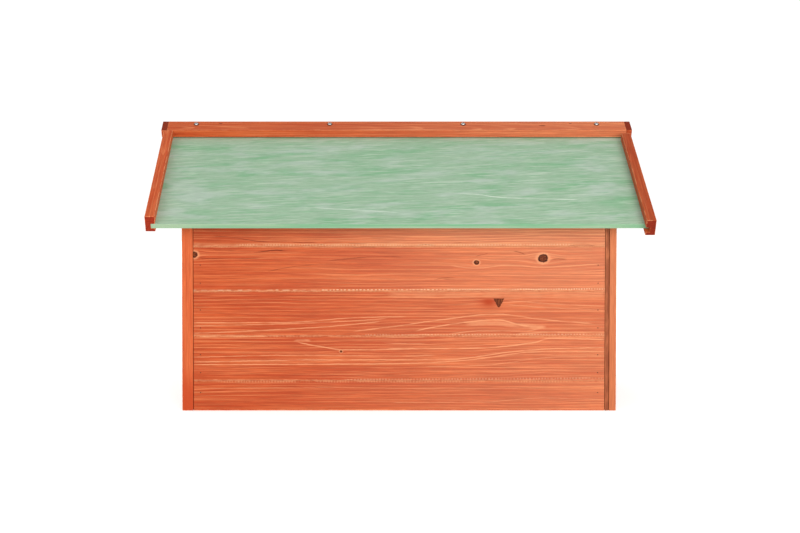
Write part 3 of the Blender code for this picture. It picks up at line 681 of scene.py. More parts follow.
backDown, backOut = slopeAxes(1)
frontDown = slopeAxes(-1)[0]
grainAxes = {
    "boards along x": (xAxis, zAxis, -yAxis),
    "boards along y": (yAxis, zAxis, xAxis),
    "upright": (zAxis, xAxis, yAxis),
    "flat along x": (xAxis, yAxis, zAxis),
    "back rail": (backDown, xAxis, backDown.cross(xAxis)),
    "front rail": (frontDown, xAxis, frontDown.cross(xAxis)),
    "batten": (xAxis, backOut.cross(xAxis), backOut),
}

# the back wall's own marks, at world (x, z): each line, crack or row of beads is a path,
# its width and its strength, and for beads the distance from one to the next; the rows of beads are painted
# highlights along the seam chamfers
backBoards = {
    "back_board_1": {
        "sheenFade": (0.66, 0.0),
        "heartOffset": -0.1,
        "heartDepth": 0.03,
        "taper": 0.012,
        "ringWidth": 0.0062,
        "chatterAndHighlight": {"band": 0.005, "pitch": 0.0058, "cover": 0.62, "wave": 0.0, "base": 0.1, "tick": 0.32},
        "lines": [
            ([(0.019, 0.0164), (-0.184, 0.018), (-0.293, 0.0258), (-0.43, 0.0226)], 0.0011, 0.5),
            ([(0.43, 0.046), (0.15, 0.047), (-0.1, 0.045), (-0.43, 0.05)], 0.001, 0.4),
        ],
    },
    "back_board_2": {
        "sheenFade": (0.58, 0.0),
        "heartOffset": -0.12,
        "heartDepth": 0.02,
        "taper": 0.02,
        "ringWidth": 0.007,
        "sway": 0.014,
        "chatterAndHighlight": {"band": 0.0034, "pitch": 0.0068, "cover": 0.6, "wave": 0.0, "base": 0.12, "tick": 0.22},
        "seamHighlightRows": [
            ([(0.12, 0.0632), (-0.2, 0.0655), (-0.43, 0.0668)], 0.0026, 0.22, 0.0064),
        ],
        "lines": [
            ([(0.42, 0.152), (0.34, 0.1526), (0.262, 0.153)], 0.0018, 0.85),
            (
                [(0.215, 0.1425), (0.19, 0.1367), (0.147, 0.1295), (0.118, 0.1253), (-0.03, 0.1267)],
                0.0016,
                0.75,
            ),
            ([(0.218, 0.143), (0.2, 0.1448), (0.178, 0.144)], 0.003, 0.7),
            ([(0.035, 0.144), (0.028, 0.139), (-0.06, 0.1375)], 0.0013, 0.6),
            ([(0.035, 0.145), (0.025, 0.15), (-0.06, 0.1515)], 0.0012, 0.5),
            ([(0.43, 0.1095), (0.224, 0.1138), (-0.001, 0.1124), (-0.08, 0.114)], 0.0013, 0.6),
            (
                [(0.43, 0.0995), (0.224, 0.1038), (-0.106, 0.1054), (-0.262, 0.1241), (-0.43, 0.1303)],
                0.0015,
                0.8,
            ),
            (
                [(0.43, 0.0946), (-0.001, 0.0966), (-0.137, 0.1038), (-0.293, 0.121), (-0.43, 0.121)],
                0.0014,
                0.75,
            ),
            (
                [(0.03, 0.1272), (-0.168, 0.1288), (-0.281, 0.1412), (-0.309, 0.1485), (-0.43, 0.1459)],
                0.0018,
                0.8,
            ),
            ([(-0.05, 0.0905), (-0.18, 0.0935), (-0.3, 0.109), (-0.43, 0.112)], 0.0011, 0.5),
        ],
        "knots": [((0.119, 0.1218), 0.0022)],
    },
    "back_board_3": {
        "sheenFade": (0.54, 0.0),
        "heartOffset": 0.11,
        "heartDepth": 0.02,
        "taper": -0.012,
        "ringWidth": 0.0066,
        "chatterAndHighlight": {"band": 0.003, "pitch": 0.0074, "cover": 0.8, "wave": 0.0, "base": 0.2, "tick": 0.12},
        "seamHighlightRows": [
            ([(0.08, 0.1556), (-0.2, 0.1566), (-0.43, 0.1572)], 0.0016, 0.4, 0.0062),
        ],
        "lines": [
            ([(0.43, 0.181), (0.247, 0.181), (0.09, 0.1911), (-0.02, 0.1935)], 0.0014, 0.65),
            ([(0.43, 0.1739), (0.247, 0.1782), (0.132, 0.1825), (0.02, 0.1895)], 0.0013, 0.6),
            ([(0.43, 0.1582), (0.247, 0.1667), (0.132, 0.1739), (0.032, 0.1839)], 0.0015, 0.65),
            (
                [
                    (0.098, 0.1624), (-0.001, 0.1748), (-0.09, 0.1874),
                    (-0.2, 0.1981), (-0.293, 0.1874), (-0.4, 0.1787),
                ],
                0.0016,
                0.75,
            ),
            (
                [
                    (-0.028, 0.1631), (-0.084, 0.174), (-0.15, 0.1834),
                    (-0.2, 0.1865), (-0.256, 0.1745), (-0.297, 0.1709),
                ],
                0.0018,
                0.8,
            ),
            ([(-0.1, 0.158), (-0.17, 0.164), (-0.253, 0.164), (-0.297, 0.17)], 0.0014, 0.6),
            ([(-0.13, 0.1775), (-0.19, 0.18), (-0.235, 0.176), (-0.3, 0.1712)], 0.0066, 0.5),
            ([(-0.262, 0.1722), (-0.285, 0.1716), (-0.304, 0.1718)], 0.0046, 0.55),
            ([(-0.235, 0.158), (-0.262, 0.159), (-0.3, 0.161), (-0.43, 0.16)], 0.002, 0.6),
            ([(0.03, 0.238), (-0.2, 0.2385), (-0.43, 0.238)], 0.009, 0.3),
            ([(-0.218, 0.2265), (-0.3, 0.2205), (-0.43, 0.214)], 0.0012, 0.5),
            ([(-0.215, 0.219), (-0.3, 0.212), (-0.43, 0.206)], 0.0011, 0.45),
        ],
        "cracks": [([(-0.02, 0.23), (-0.12, 0.2303), (-0.22, 0.23)], 0.0008, 0.22)],
        "wedge": {
            "tip": (-0.204, 0.2116),
            "top": 0.2308,
            "side": 0.0112,  # half width at the top
            "flame": (-0.183, 0.2235),
            "flameSize": (0.019, 0.011),
        },
    },
    "back_board_4": {
        "sheenFade": (0.86, 0.0),
        "heartOffset": 0.12,
        "heartDepth": 0.03,
        "taper": 0.01,
        "ringWidth": 0.008,
        "contrast": 0.52,
        "chatterAndHighlight": {
            "band": 0.0034,
            "pitch": 0.0052,
            "cover": 0.9,
            "wave": 0.004,
            "base": 0.34,
            "tick": 0.1,
        },
        "seamHighlightRows": [
            ([(0.43, 0.2473), (0.3, 0.2476), (0.14, 0.248)], 0.0014, 0.55, 0.019),
            ([(0.17, 0.248), (0.0, 0.2486), (-0.12, 0.2491)], 0.0013, 0.85, 0.0078),
            ([(-0.09, 0.249), (-0.22, 0.2495), (-0.43, 0.2502)], 0.0014, 1.0, 0.0052),
        ],
        "lines": [
            (
                [(-0.1, 0.2985), (-0.158, 0.293), (-0.22, 0.2985), (-0.294, 0.295), (-0.42, 0.302)],
                0.0016,
                0.5,
            ),
        ],
        "cracks": [
            ([(0.3, 0.3245), (0.247, 0.3293), (0.225, 0.328)], 0.0016, 0.75),
            ([(0.385, 0.331), (0.36, 0.33), (0.33, 0.329)], 0.0012, 0.5),
            ([(0.1, 0.3335), (0.07, 0.3362), (0.04, 0.3352)], 0.0013, 0.5),
            ([(0.42, 0.314), (0.35, 0.312), (0.318, 0.3121), (0.28, 0.3135)], 0.0011, 0.6),
            ([(0.276, 0.284), (0.224, 0.2949), (0.16, 0.301)], 0.001, 0.5),
            ([(0.15, 0.308), (0.024, 0.317), (-0.01, 0.3149)], 0.001, 0.5),
            ([(-0.155, 0.3165), (-0.165, 0.3192), (-0.184, 0.3238)], 0.0011, 0.6),
            ([(-0.232, 0.3275), (-0.24, 0.327), (-0.259, 0.3201)], 0.0012, 0.6),
            ([(-0.31, 0.311), (-0.325, 0.3118), (-0.345, 0.3114)], 0.001, 0.7),
            ([(-0.068, 0.2677), (-0.088, 0.2725), (-0.106, 0.2739), (-0.12, 0.2725)], 0.0008, 0.6),
            ([(-0.087, 0.2708), (-0.1, 0.27), (-0.118, 0.269)], 0.0008, 0.6),
        ],
        "knots": [((-0.158, 0.3043), 0.0042), ((-0.294, 0.313), 0.0078), ((0.4195, 0.3205), 0.0058)],
    },
    "back_board_5": {
        "sheenFade": (1.42, 0.0),
        "heartOffset": -0.11,
        "heartDepth": 0.03,
        "taper": 0.01,
        "ringWidth": 0.006,
        "contrast": 0.8,
        "lift": 0.94,
        "lines": [
            ([(0.43, 0.3408), (0.34, 0.3398), (0.27, 0.3412), (0.18, 0.34), (0.06, 0.3412)], 0.0044, 0.38),
            (
                [
                    (0.09, 0.3414), (0.0, 0.342), (-0.09, 0.3404),
                    (-0.2, 0.3418), (-0.31, 0.341), (-0.43, 0.3418),
                ],
                0.0048,
                0.56,
            ),
        ],
        "seamHighlightRows": [
            ([(0.34, 0.3404), (0.1, 0.3398), (-0.15, 0.3404), (-0.36, 0.3412)], 0.0024, 0.34, 0.0058),
        ],
        "cracks": [
            ([(0.385, 0.36), (0.34, 0.356), (0.29, 0.348), (0.26, 0.3462)], 0.0011, 0.55),
            ([(0.225, 0.347), (0.19, 0.3452), (0.165, 0.3462)], 0.001, 0.5),
            ([(0.2, 0.339), (0.16, 0.3412), (0.145, 0.344)], 0.0009, 0.5),
            ([(0.11, 0.3448), (0.085, 0.343), (0.06, 0.3442)], 0.0009, 0.45),
            ([(-0.03, 0.3395), (-0.055, 0.3408), (-0.08, 0.3396)], 0.0009, 0.5),
            ([(-0.105, 0.344), (-0.13, 0.3455), (-0.16, 0.3444)], 0.0009, 0.4),
            ([(-0.34, 0.3392), (-0.37, 0.34), (-0.41, 0.3392)], 0.0009, 0.5),
        ],
    },
}

# the wider wear here is partly rubbed arrises and partly painted highlight over the shade in the seam grooves
backWallWearAndHighlight = {"wear": 0.0017, "endsPast": 0.02}
# in timber each node has its grain axes, seed, arris, and what differs from the usual look
timber = {}
for row, marks in enumerate(backBoards.values(), 1):
    timber["back_board_%d" % row] = ("boards along x", float(row), 0.0002, {**marks, **backWallWearAndHighlight})

runPostLook = {
    "contrast": 0.12,
    "ringWidth": 0.003,
    "foot": 0.9,
    "tones": {
        "early": stained((230, 114, 63)),
        "deep": stained((212, 88, 43)),
        "foot": stained((204, 76, 34)),
    },
}
nestPostLook = {
    "contrast": 0.2,
    "ringWidth": 0.003,
    # paler tones: painted sheen from the light at the nest end
    "tones": {"early": stained((226, 136, 88)), "deep": stained((212, 118, 74))},
    "cracks": [([(-0.4262, -0.02), (-0.4262, 0.20), (-0.4262, 0.42)], 0.0052, 0.62)],  # painted shade in the step beside the boards' ends, drawn as a crack line
}
battenLook = {
    "ringWidth": 0.0035,
    "lift": 1.26,
    "sheenFade": (0.78, 0.0),
    "wear": 0.0006,
    "cracks": [
        ([(0.394, 0.596), (0.389, 0.597), (0.384, 0.596)], 0.0024, 0.7),
        ([(-0.313, 0.578), (-0.322, 0.5775), (-0.330, 0.577)], 0.0022, 0.85),
        ([(-0.381, 0.597), (-0.385, 0.597), (-0.389, 0.598)], 0.0016, 0.8),
    ],
}
backRailRunLook = {
    "ringWidth": 0.003,
    "contrast": 0.4,
    "lift": 1.32,
    "tones": {"early": scaled(tone(214, 108, 60), 0.90)},
}
backRailNestLook = {"ringWidth": 0.003, "contrast": 0.4, "lift": 0.97}
frontPostLook = {"contrast": 0.35, "ringWidth": 0.003}
sheetLook = {"ringWidth": 0.009, "contrast": 0.4}
buttonLook = {"ringWidth": 0.002}
timber.update({
    "post_back_run": ("upright", 6.0, 0.0008, runPostLook),
    "post_back_nest": ("upright", 7.0, 0.0006, nestPostLook),
    "post_front_run": ("upright", 8.0, 0.0010, frontPostLook),
    "post_front_nest": ("upright", 9.0, 0.0010, frontPostLook),
    "front_sill": ("boards along x", 10.0, 0.0012, {}),
    "front_mid_rail": ("boards along x", 11.0, 0.0012, {}),
    "front_header": ("boards along x", 12.0, 0.0012, {}),
    "front_stile": ("upright", 13.0, 0.0012, {}),
    "tray_front": ("boards along x", 14.0, 0.0012, {}),
    "floor_panel": ("flat along x", 15.0, 0.0004, sheetLook),
    "tray_runner_run": ("boards along y", 16.0, 0.0008, {}),
    "tray_runner_nest": ("boards along y", 17.0, 0.0008, {}),
    "partition": ("boards along y", 18.0, 0.0005, sheetLook),
    "ridge_beam": ("boards along x", 19.0, 0.0010, {}),
    "ridge_batten": ("batten", 20.0, 0.0009, battenLook),
    "back_rail_run": ("back rail", 21.0, 0.0010, backRailRunLook),
    "back_rail_nest": ("back rail", 22.0, 0.0010, backRailNestLook),
    "front_rail_run": ("front rail", 23.0, 0.0010, {"ringWidth": 0.003}),
    "front_rail_nest": ("front rail", 24.0, 0.0010, {"ringWidth": 0.003}),
    "nest_door_ledge_low": ("boards along x", 25.0, 0.0010, {}),
    "nest_door_ledge_high": ("boards along x", 26.0, 0.0010, {}),
    "run_door_stile_hinge": ("upright", 27.0, 0.0012, {}),
    "run_door_stile_latch": ("upright", 28.0, 0.0012, {}),
    "run_door_rail_low": ("boards along x", 29.0, 0.0012, {}),
    "run_door_rail_high": ("boards along x", 30.0, 0.0012, {}),
    "turn_button_nest": ("upright", 31.0, 0.0006, buttonLook),
    "turn_button_run": ("upright", 32.0, 0.0006, buttonLook),
})
sideChatterAndHighlight = {"band": 0.0040, "pitch": 0.0060, "cover": 0.6, "wave": 0.0, "base": 0.25, "tick": 0.40}
for end, firstSeed in (("run", 40.0), ("nest", 50.0)):
    for row in range(1, 5):
        boardName = "%s_side_board_%d" % (end, row)
        timber[boardName] = ("boards along y", firstSeed + row, 0.0004, {"chatterAndHighlight": sideChatterAndHighlight})
    timber[end + "_side_gable"] = ("boards along y", firstSeed + 5, 0.0009, {})

for nodeName, (axesName, seed, arris, change) in timber.items():
    item = nodes[nodeName]
    axes = grainAxes[axesName]
    middle, half = measure(worldPoints(item), axes)
    roundOver(item, arris)
    setMaterial(item, firMaterial(nodeName + "Fir", axes, middle, half, seed, **change))
print("timber finished:", len(timber))

washLook = {
    "base": (159, 189, 160),
    "green": (126, 180, 136),
    "grey": (182, 200, 184),
    "pale": (192, 212, 188),
    "warm": (184, 190, 158),
    "edge": (112, 165, 126),
    "edgePale": (150, 176, 144),
    "scratch": (226, 238, 222),
    "shade": (84, 96, 62),
    "exposure": 0.87,
    # strength and width of the painted shadow under the ridge batten
    "battenShadow": 0.85,
    "battenShadowWidth": 0.0075,
    "ridgeToEave": 0.3828,
    "slant": 0.07,  # how far the brushing runs off square
    "warmBand": 0.075,  # yellowed strip along the ridge
    "arris": 0.0008,
    "bump": 0.0002,
    "bumpStrength": 0.7,
    "gloss": 0.15,
    # features per metre: along the ridge, down the slope and through the board
    "cloud": (7.0, 26.0, 1.0),
    "dim": (8.0, 30.0, 4.0),
    "drag": (12.0, 190.0, 1.0),
    "fine": (40.0, 620.0, 1.0),
    "hair": (5.0, 330.0, 1.0),
    "edgeBand": (3.0, 0.0, 60.0),
    # scratches in the wash: (along the ridge, down the slope) points
    "scratches": [
        (
            [
                (-0.118, 0.268), (-0.171, 0.274), (-0.195, 0.281),
                (-0.264, 0.287), (-0.315, 0.290), (-0.375, 0.292),
            ],
            0.0016,
            0.9,
        ),
        ([(-0.042, 0.226), (-0.100, 0.224), (-0.149, 0.224)], 0.0013, 0.7),
        ([(0.030, 0.159), (-0.065, 0.157)], 0.0012, 0.6),
        ([(-0.234, 0.222), (-0.322, 0.214)], 0.0013, 0.6),
        ([(0.180, 0.322), (0.080, 0.332), (-0.003, 0.341)], 0.0014, 0.7),
    ],
}


def washTone(name):
    return scaled(tone(*washLook[name]), washLook["exposure"])


def washMaterial(name, side, seed, scratched):
    # thin green wash dragged along the board, worn pale in streaks
    material, tree, shader = newMaterial(name + "Wash")
    down = slopeAxes(side)[0]
    axes = (xAxis, down, xAxis.cross(down))
    middle, half = measure(worldPoints(nodes[name]), axes)
    place, facing = grainSpace(tree, axes, middle)
    x, y, z = split(place)
    slanted = x * -washLook["slant"] + y
    moved = vectorNode("ADD", joinAxes(x, slanted, z), (seed, seed, 0.0))
    cloud = noise(moved, washLook["cloud"], 4.0, 0.6, 0.4)
    dim = noise(moved, washLook["dim"], 3.0, 0.6, 0.3)
    drag = noise(moved, washLook["drag"], 3.0, 0.65)
    fine = noise(moved, washLook["fine"], 2.0, 0.6)
    hair = noise(moved, washLook["hair"], 2.0, 0.5, 0.5)
    colour = blend(between(cloud, 0.46, 0.72, 0.0, 0.85), washTone("base"), washTone("green"))
    colour = blend(between(dim, 0.46, 0.70, 0.0, 0.85), colour, washTone("grey"))
    warmth = between(y, -half.y, washLook["warmBand"] - half.y, 0.45, 0.0)
    colour = blend(warmth * between(dim, 0.35, 0.6), colour, washTone("warm"))
    colour = blend(between(drag, 0.52, 0.68, 0.0, 0.60), colour, washTone("pale"))
    colour = blend(between(drag, 0.32, 0.46, 0.60, 0.0), colour, washTone("green"))
    colour = blend(between(hair, 0.62, 0.70, 0.0, 0.55), colour, washTone("pale"))
    colour = speckled(colour, between(fine, 0.3, 0.7, 0.90, 1.09))
    if side > 0:
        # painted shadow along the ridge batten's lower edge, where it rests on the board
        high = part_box("ridge_batten")[1]
        corner = Vector((0.0, high.y, high.z - high.y * math.tan(roofPitch)))
        edge = (corner - middle).dot(down)
        battenShadow = between(y, edge, edge + washLook["battenShadowWidth"], washLook["battenShadow"], 0.0)
        colour = blend(battenShadow, colour, washTone("shade"))
    for path, width, strength in scratched:
        spots = [(spot[0] - middle.x, spot[1] - washLook["ridgeToEave"] + half.y) for spot in path]
        line = grainLine(place, spots, width, half.x)
        colour = blend(line * strength, colour, washTone("scratch"))
    upFacing = between(abs(split(facing)[2]), 0.5, 0.9)
    band = noise(place, washLook["edgeBand"])
    edgeColour = blend(between(band, 0.36, 0.66), washTone("edge"), washTone("edgePale"))
    colour = blend(upFacing, edgeColour, colour)
    rough = between(drag, 0.3, 0.7, 0.55, 0.75)
    finishSurface(shader, colour, rough, fine + drag, washLook["bumpStrength"], washLook["bump"])
    feedAll(shader, Specular_IOR_Level=washLook["gloss"])
    return material


for name, side, seed, scratched in (
    ("roof_sheet_back", 1, 3.0, washLook["scratches"]),
    ("roof_sheet_front", -1, 11.0, []),
):
    roundOver(nodes[name], washLook["arris"], 2)
    setMaterial(nodes[name], washMaterial(name, side, seed, scratched))
print("roof boards finished")

metalBump = {"strength": 0.4, "depth": 0.00008}
hardware = {  # arris of each fitting, and the steps that round it
    "leaf": (0.0003, 2),
    "tray": (0.0004, 2),
    "handle": (0.0022, 4),
}
metals = {  # crystals per metre, light and dark tone, and least roughness
    "brightSteel": (220.0, (0.60, 0.59, 0.58, 1.0), (0.38, 0.38, 0.38, 1.0), 0.26),
    "galvanised": (70.0, (0.66, 0.67, 0.69, 1.0), (0.44, 0.45, 0.47, 1.0), 0.34),
    "darkNail": (300.0, (0.10, 0.06, 0.045, 1.0), (0.04, 0.022, 0.016, 1.0), 0.55),
}


def metalMaterial(name):
    crystal, light, dark, gloss = metals[name]
    material, tree, shader = newMaterial(name)
    place = Signal(tree, addNode(tree, "ShaderNodeTexCoord").outputs["Object"])
    coat = placeGroup(zincCoat, Vector=place, Crystal=crystal, Light=light, Dark=dark, Gloss=gloss)
    bump = metalBump["strength"], metalBump["depth"]
    finishSurface(shader, coat["Color"], coat["Roughness"], coat["Height"], *bump)
    feedAll(shader, Metallic=1.0)
    return material


brightSteel = metalMaterial("brightSteel")
galvanised = metalMaterial("galvanised")
darkNail = metalMaterial("darkNail")
metalNodes = {name: ("leaf", brightSteel) for name in nodes if "hinge" in name and "stile" not in name}
metalNodes["tray_pan"] = ("tray", galvanised)
metalNodes["tray_handle"] = ("handle", brightSteel)
for name, (kind, material) in metalNodes.items():
    roundOver(nodes[name], *hardware[kind])
    setMaterial(nodes[name], material)
print("metal finished")


def makePiece(name, shape, material, body, sharpAngle=35.0):
    bmesh.ops.recalc_face_normals(shape, faces=shape.faces)
    mesh = bpy.data.meshes.new(name)
    shape.to_mesh(mesh)
    shape.free()
    mesh.materials.append(material)
    mesh.shade_smooth()
    mesh.set_sharp_from_angle(angle=math.radians(sharpAngle))
    piece = bpy.data.objects.new(name, mesh)
    bpy.context.scene.collection.objects.link(piece)
    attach(piece, body)
    return piece


def addRing(shape, middle, spin, radius, rise, steps):
    ring = []
    for index in range(steps):
        angle = 2 * math.pi * index / steps
        point = Vector((radius * math.cos(angle), radius * math.sin(angle), rise))
        ring.append(shape.verts.new(middle + spin @ point))
    return ring


def joinRings(shape, rings):
    for lower, upper in zip(rings, rings[1:]):
        for index in range(len(lower)):
            after = (index + 1) % len(lower)
            shape.faces.new((lower[index], lower[after], upper[after], upper[index]))


def spinTo(outward):
    return outward.to_track_quat("Z", "Y").to_matrix()


# share of the radius and share of the height, from the rim to the crown
screwProfile = ((1.0, 0.0), (1.0, 0.22), (0.96, 0.42), (0.86, 0.64), (0.70, 0.84), (0.55, 0.95))
domeProfile = ((1.0, -0.5), (1.0, 0.4), (0.8, 0.85), (0.4, 1.0))
crossRecess = {"arm": 0.42, "slot": 0.11, "narrowing": 0.8, "floor": 0.45}  # shares of radius and height


def addScrewHead(shape, place, outward, head, turn=0.0):
    # domed head with a cross recess, standing on place and facing outward
    fresh = bmesh.new()
    radius, height, steps = head["radius"], head["height"], head["steps"]
    rings = [
        addRing(fresh, Vector(), Matrix.Identity(3), share * radius, rise * height, steps)
        for share, rise in screwProfile
    ]
    joinRings(fresh, rings)
    arm, slot = crossRecess["arm"] * radius, crossRecess["slot"] * radius
    corners = [(arm, -slot), (arm, slot), (slot, slot)]
    for _ in range(3):
        corners += [(-b, a) for a, b in corners[-3:]]  # the last arm again, a quarter turn on
    narrow, floor = crossRecess["narrowing"], crossRecess["floor"] * height
    mouth = [fresh.verts.new((a, b, height)) for a, b in corners]
    pit = [fresh.verts.new((a * narrow, b * narrow, floor)) for a, b in corners]
    joinRings(fresh, [mouth, pit])
    fresh.faces.new(pit)
    fresh.faces.new(list(reversed(rings[0])))
    rims = [(ring[i], ring[(i + 1) % len(ring)]) for ring in (rings[-1], mouth) for i in range(len(ring))]
    bmesh.ops.bridge_loops(fresh, edges=[fresh.edges.get(pair) for pair in rims])
    spin = spinTo(outward).to_4x4() @ Matrix.Rotation(turn, 4, "Z")
    bmesh.ops.transform(fresh, matrix=Matrix.Translation(place) @ spin, verts=fresh.verts)
    holder = bpy.data.meshes.new("screwHead")
    fresh.to_mesh(holder)
    fresh.free()
    shape.from_mesh(holder)
    bpy.data.meshes.remove(holder)


def addTube(shape, start, end, radius, sides=8):
    spin = spinTo((end - start).normalized())
    rings = [addRing(shape, middle, spin, radius, 0.0, sides) for middle in (start, end)]
    joinRings(shape, rings)
    shape.faces.new(list(reversed(rings[0])))
    shape.faces.new(rings[1])


def addDome(shape, place, outward, dome):
    spin, steps = spinTo(outward), dome["steps"]
    rings = [
        addRing(shape, place, spin, share * dome["radius"], rise * dome["height"], steps)
        for share, rise in domeProfile
    ]
    joinRings(shape, rings)
    shape.faces.new(rings[-1])
    shape.faces.new(list(reversed(rings[0])))


ridgeScrew = {
    "radius": 0.0045,
    "height": 0.0036,
    "steps": 24,
    "turn": 0.7,
    "fromRidge": 0.013,
    "stand": 0.0003,
}
# size of the dark disc round each screw head: painted contact shadow, dark as rust
ridgeRustAndShadow = {"radius": 0.0057, "height": 0.0006, "steps": 20}
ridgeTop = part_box("ridge_batten")[1].z
for index in range(1, 5):
    nodeName = "ridge_screw_%d" % index
    low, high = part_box(nodeName)
    foot = Vector(((low.x + high.x) / 2, 0.0, ridgeTop))
    foot += backDown * ridgeScrew["fromRidge"] + backOut * ridgeScrew["stand"]
    shape = bmesh.new()
    addScrewHead(shape, foot, backOut, ridgeScrew, ridgeScrew["turn"] * index)
    screw = makePiece("ridgeScrew%d" % index, shape, brightSteel, "hutch")
    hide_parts(nodeName)
    # a dark disc under each screw head: painted contact shadow round the head, dark as rust
    shape = bmesh.new()
    addDome(shape, foot, backOut, ridgeRustAndShadow)
    rustAndShadow = makePiece("ridgeScrewSeat%d" % index, shape, darkNail, "hutch")

leafScrew = {
    "radius": 0.0023,
    "height": 0.0006,
    "steps": 16,
    "fromEdge": 0.0075,
    "fromEnd": 0.0105,
    "leafThickness": 0.0017,
    "turns": (0.3, 0.9),  # of the lower and the upper screw
}
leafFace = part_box("front_stile")[0].y - leafScrew["leafThickness"]


def buildLeafScrews(door, level, leaf, side, body):
    # side is the edge of the leaf that lies away from the knuckle
    low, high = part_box("%s_hinge_%s_%s" % (door, level, leaf))
    x = high.x - leafScrew["fromEdge"] if side > 0 else low.x + leafScrew["fromEdge"]
    heights = (low.z + leafScrew["fromEnd"], high.z - leafScrew["fromEnd"])
    shape = bmesh.new()
    for turn, z in zip(leafScrew["turns"], heights):
        addScrewHead(shape, Vector((x, leafFace, z)), -yAxis, leafScrew, turn)
    pair = makePiece("%sHinge%sLeafScrews%s" % (door, level.title(), leaf.title()), shape, brightSteel, body)


for door, outerSide in (("nest", -1), ("run", 1)):
    for level in ("low", "high"):
        buildLeafScrews(door, level, "fixed", outerSide, "hutch")
        buildLeafScrews(door, level, "moving", -outerSide, door + "_door")

buttonScrew = {
    "radius": 0.0042,
    "height": 0.0020,
    "steps": 20,
    "turn": 0.4,
    "fromTop": 0.007,
    "headHeight": 0.0018,
}
for end in ("nest", "run"):
    low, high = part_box("turn_button_" + end)
    place = Vector(((low.x + high.x) / 2, low.y + buttonScrew["headHeight"], high.z - buttonScrew["fromTop"]))
    shape = bmesh.new()
    addScrewHead(shape, place, -yAxis, buttonScrew, buttonScrew["turn"])
    head = makePiece(end + "ButtonScrew", shape, brightSteel, end + "_button")

wireGrid = {"radius": 0.00055, "pitch": 0.025, "wire": 0.0018}


def buildWireGrid():
    # upright wires in front, level wires behind, welded where they cross
    low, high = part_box("run_door_mesh")
    shape = bmesh.new()
    radius, inset = wireGrid["radius"], wireGrid["wire"] / 2
    frontY, backY = low.y + radius, high.y - radius
    wide = high.x - low.x - 2 * inset
    tall = high.z - low.z - 2 * inset
    columns = round(wide / wireGrid["pitch"])
    rows = round(tall / wireGrid["pitch"])
    for index in range(columns + 1):
        x = low.x + inset + wide * index / columns
        addTube(shape, Vector((x, frontY, low.z)), Vector((x, frontY, high.z)), radius)
    for index in range(rows + 1):
        z = low.z + inset + tall * index / rows
        addTube(shape, Vector((low.x, backY, z)), Vector((high.x, backY, z)), radius)
    grid = makePiece("runDoorWire", shape, galvanised, "run_door", 60.0)
    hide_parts("run_door_mesh")


buildWireGrid()

trayRim = {"radius": 0.0013, "sink": 0.0002, "sides": 12}


def buildTrayRim():
    # the pan's edge, rolled inwards all round
    low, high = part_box("tray_pan")
    radius = trayRim["radius"]
    left, right = low.x + radius, high.x - radius
    front, back = low.y + radius, high.y - radius
    z = high.z - radius + trayRim["sink"]
    corners = [Vector((x, y, z)) for x, y in ((left, front), (right, front), (right, back), (left, back))]
    shape = bmesh.new()
    for start, end in zip(corners, corners[1:] + corners[:1]):
        addTube(shape, start, end, radius, trayRim["sides"])
    rim = makePiece("trayRolledRim", shape, galvanised, "tray", 50.0)


buildTrayRim()

nestDoorBoards = {"arris": 0.0014, "hearts": (-0.08, 0.01, 0.07), "firstSeed": 61.0}  # a heart for each board


def buildNestDoorBoards():
    low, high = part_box("nest_door_panel")
    wide = (high.x - low.x) / len(nestDoorBoards["hearts"])
    size = Vector((wide, high.y - low.y, high.z - low.z))
    half = Vector((size.z, size.x, size.y)) / 2
    for index, heart in enumerate(nestDoorBoards["hearts"]):
        shape = bmesh.new()
        bmesh.ops.create_cube(shape, size=1.0)
        middle = Vector((low.x + wide * (index + 0.5), (low.y + high.y) / 2, (low.z + high.z) / 2))
        bmesh.ops.scale(shape, vec=size, verts=shape.verts)
        bmesh.ops.translate(shape, vec=middle, verts=shape.verts)
        name = "nestDoorBoard%d" % (index + 1)
        seed = nestDoorBoards["firstSeed"] + index
        finish = firMaterial(name + "Fir", grainAxes["upright"], middle, half, seed, heartOffset=heart)
        board = makePiece(name, shape, finish, "nest_door")
        bevel = board.modifiers.new("arris", "BEVEL")
        bevel.width = nestDoorBoards["arris"]
        bevel.segments = 3
        bevel.harden_normals = True
        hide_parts("nest_door_panel")


buildNestDoorBoards()

wallNails = {
    "radius": 0.0011,
    "height": 0.0003,
    "steps": 12,
    "fromBoardEnd": 0.014,
    "heights": (0.016, 0.053),  # above each board's lower edge
    "lowestBoard": (0.037,),
}


def buildWallNails(name, boards, axis, outward):
    shape = bmesh.new()
    for row in range(1, 5):
        low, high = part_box("%s_%d" % (boards, row))
        face = high if outward[1 - axis] > 0 else low
        for height in wallNails["lowestBoard"] if row == 1 else wallNails["heights"]:
            for end in (low[axis] + wallNails["fromBoardEnd"], high[axis] - wallNails["fromBoardEnd"]):
                place = Vector(face)
                place[axis] = end
                place.z = low.z + height
                addDome(shape, place, outward, wallNails)
    nails = makePiece(name, shape, darkNail, "hutch")


buildWallNails("backWallNails", "back_board", 0, yAxis)
buildWallNails("runSideNails", "run_side_board", 1, xAxis)
buildWallNails("nestSideNails", "nest_side_board", 1, -xAxis)
print("small pieces finished")

white = (1.0, 1.0, 1.0, 1.0)
studio = {
    "cameraPlace": (0.0741, 3.3104, 0.5834),
    "cameraPitch": 0.03336,
    "lens": 67.07,
    "sensor": 36.0,
    "shiftX": 0.0463,
    "shiftY": -0.1135,
    "worldLight": 0.66,
    "whiteBehind": 1.1,
    "floorRadius": 30.0,
    "floorDrop": 0.0004,
    "floorGlow": 0.44,
    "floorTones": ((0.96, 0.96, 0.96, 1.0), (0.98, 0.98, 0.98, 1.0)),
    "aim": (0.0, 0.0, 0.25),
    "lights": {  # place, width and height, watts
        "keyLight": ((-1.6, 4.0, 1.3), (2.6, 2.0), 105.0),
        "frontLight": ((1.2, -3.8, 1.5), (2.4, 1.8), 60.0),
        "fillLight": ((2.6, 3.2, 1.0), (2.0, 1.6), 30.0),
    },
}


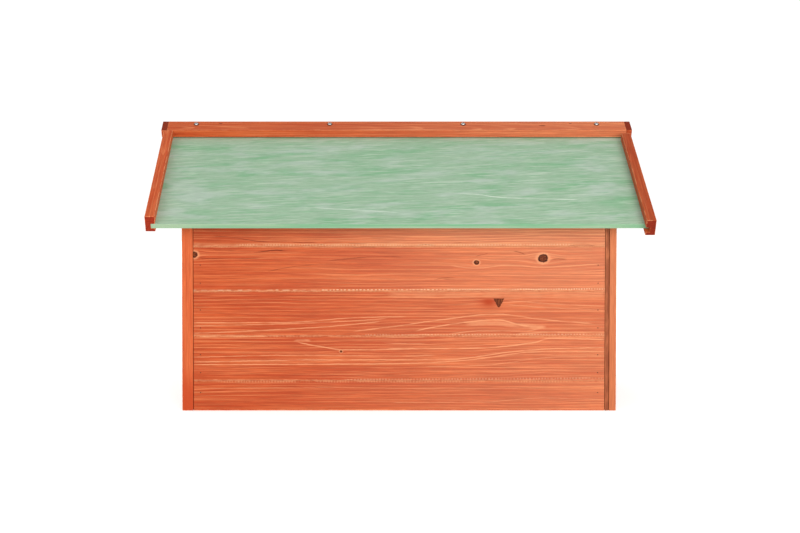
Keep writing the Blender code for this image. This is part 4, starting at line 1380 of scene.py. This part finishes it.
def buildCamera():
    data = bpy.data.cameras.new("camera")
    data.lens = studio["lens"]
    data.sensor_width = studio["sensor"]
    data.shift_x = studio["shiftX"]
    data.shift_y = studio["shiftY"]
    camera = bpy.data.objects.new("camera", data)
    camera.location = studio["cameraPlace"]
    camera.rotation_euler = (math.radians(90.0) - studio["cameraPitch"], 0.0, math.radians(180.0))
    bpy.context.scene.collection.objects.link(camera)
    bpy.context.scene.camera = camera


def buildFloor():
    mesh = bpy.data.meshes.new("studioFloor")
    shape = bmesh.new()
    bmesh.ops.create_circle(shape, cap_ends=True, radius=studio["floorRadius"], segments=96)
    bmesh.ops.translate(shape, verts=shape.verts, vec=(0.0, 0.0, -studio["floorDrop"]))
    shape.to_mesh(mesh)
    shape.free()
    floor = bpy.data.objects.new("studioFloor", mesh)
    bpy.context.scene.collection.objects.link(floor)
    material, tree, shader = newMaterial("paleFloor")
    place = Signal(tree, addNode(tree, "ShaderNodeTexCoord").outputs["Object"])
    cloud = noise(place, 2.0)
    feedAll(
        shader,
        Base_Color=blend(cloud, *studio["floorTones"]),
        Roughness=0.9,
        Specular_IOR_Level=0.1,
        Emission_Color=white,
        Emission_Strength=studio["floorGlow"],
    )
    mesh.materials.append(material)


def buildWorld():
    # soft light from all round, with a plain white behind the object
    world = bpy.data.worlds.new("studioWorld")
    world.use_nodes = True
    tree = world.node_tree
    seen = Signal(tree, addNode(tree, "ShaderNodeLightPath").outputs["Is Camera Ray"])
    strength = seen * (studio["whiteBehind"] - studio["worldLight"]) + studio["worldLight"]
    feedAll(tree.nodes["Background"], Color=white, Strength=strength)
    bpy.context.scene.world = world
    bpy.context.scene.view_settings.view_transform = "Standard"


def buildLights():
    for name, (place, size, power) in studio["lights"].items():
        data = bpy.data.lights.new(name, "AREA")
        data.shape = "RECTANGLE"
        data.size, data.size_y = size
        data.energy = power
        light = bpy.data.objects.new(name, data)
        light.location = place
        toAim = Vector(studio["aim"]) - Vector(place)
        light.rotation_euler = toAim.to_track_quat("-Z", "Y").to_euler()
        bpy.context.scene.collection.objects.link(light)


buildCamera()
buildFloor()
buildWorld()
buildLights()
print("studio finished")
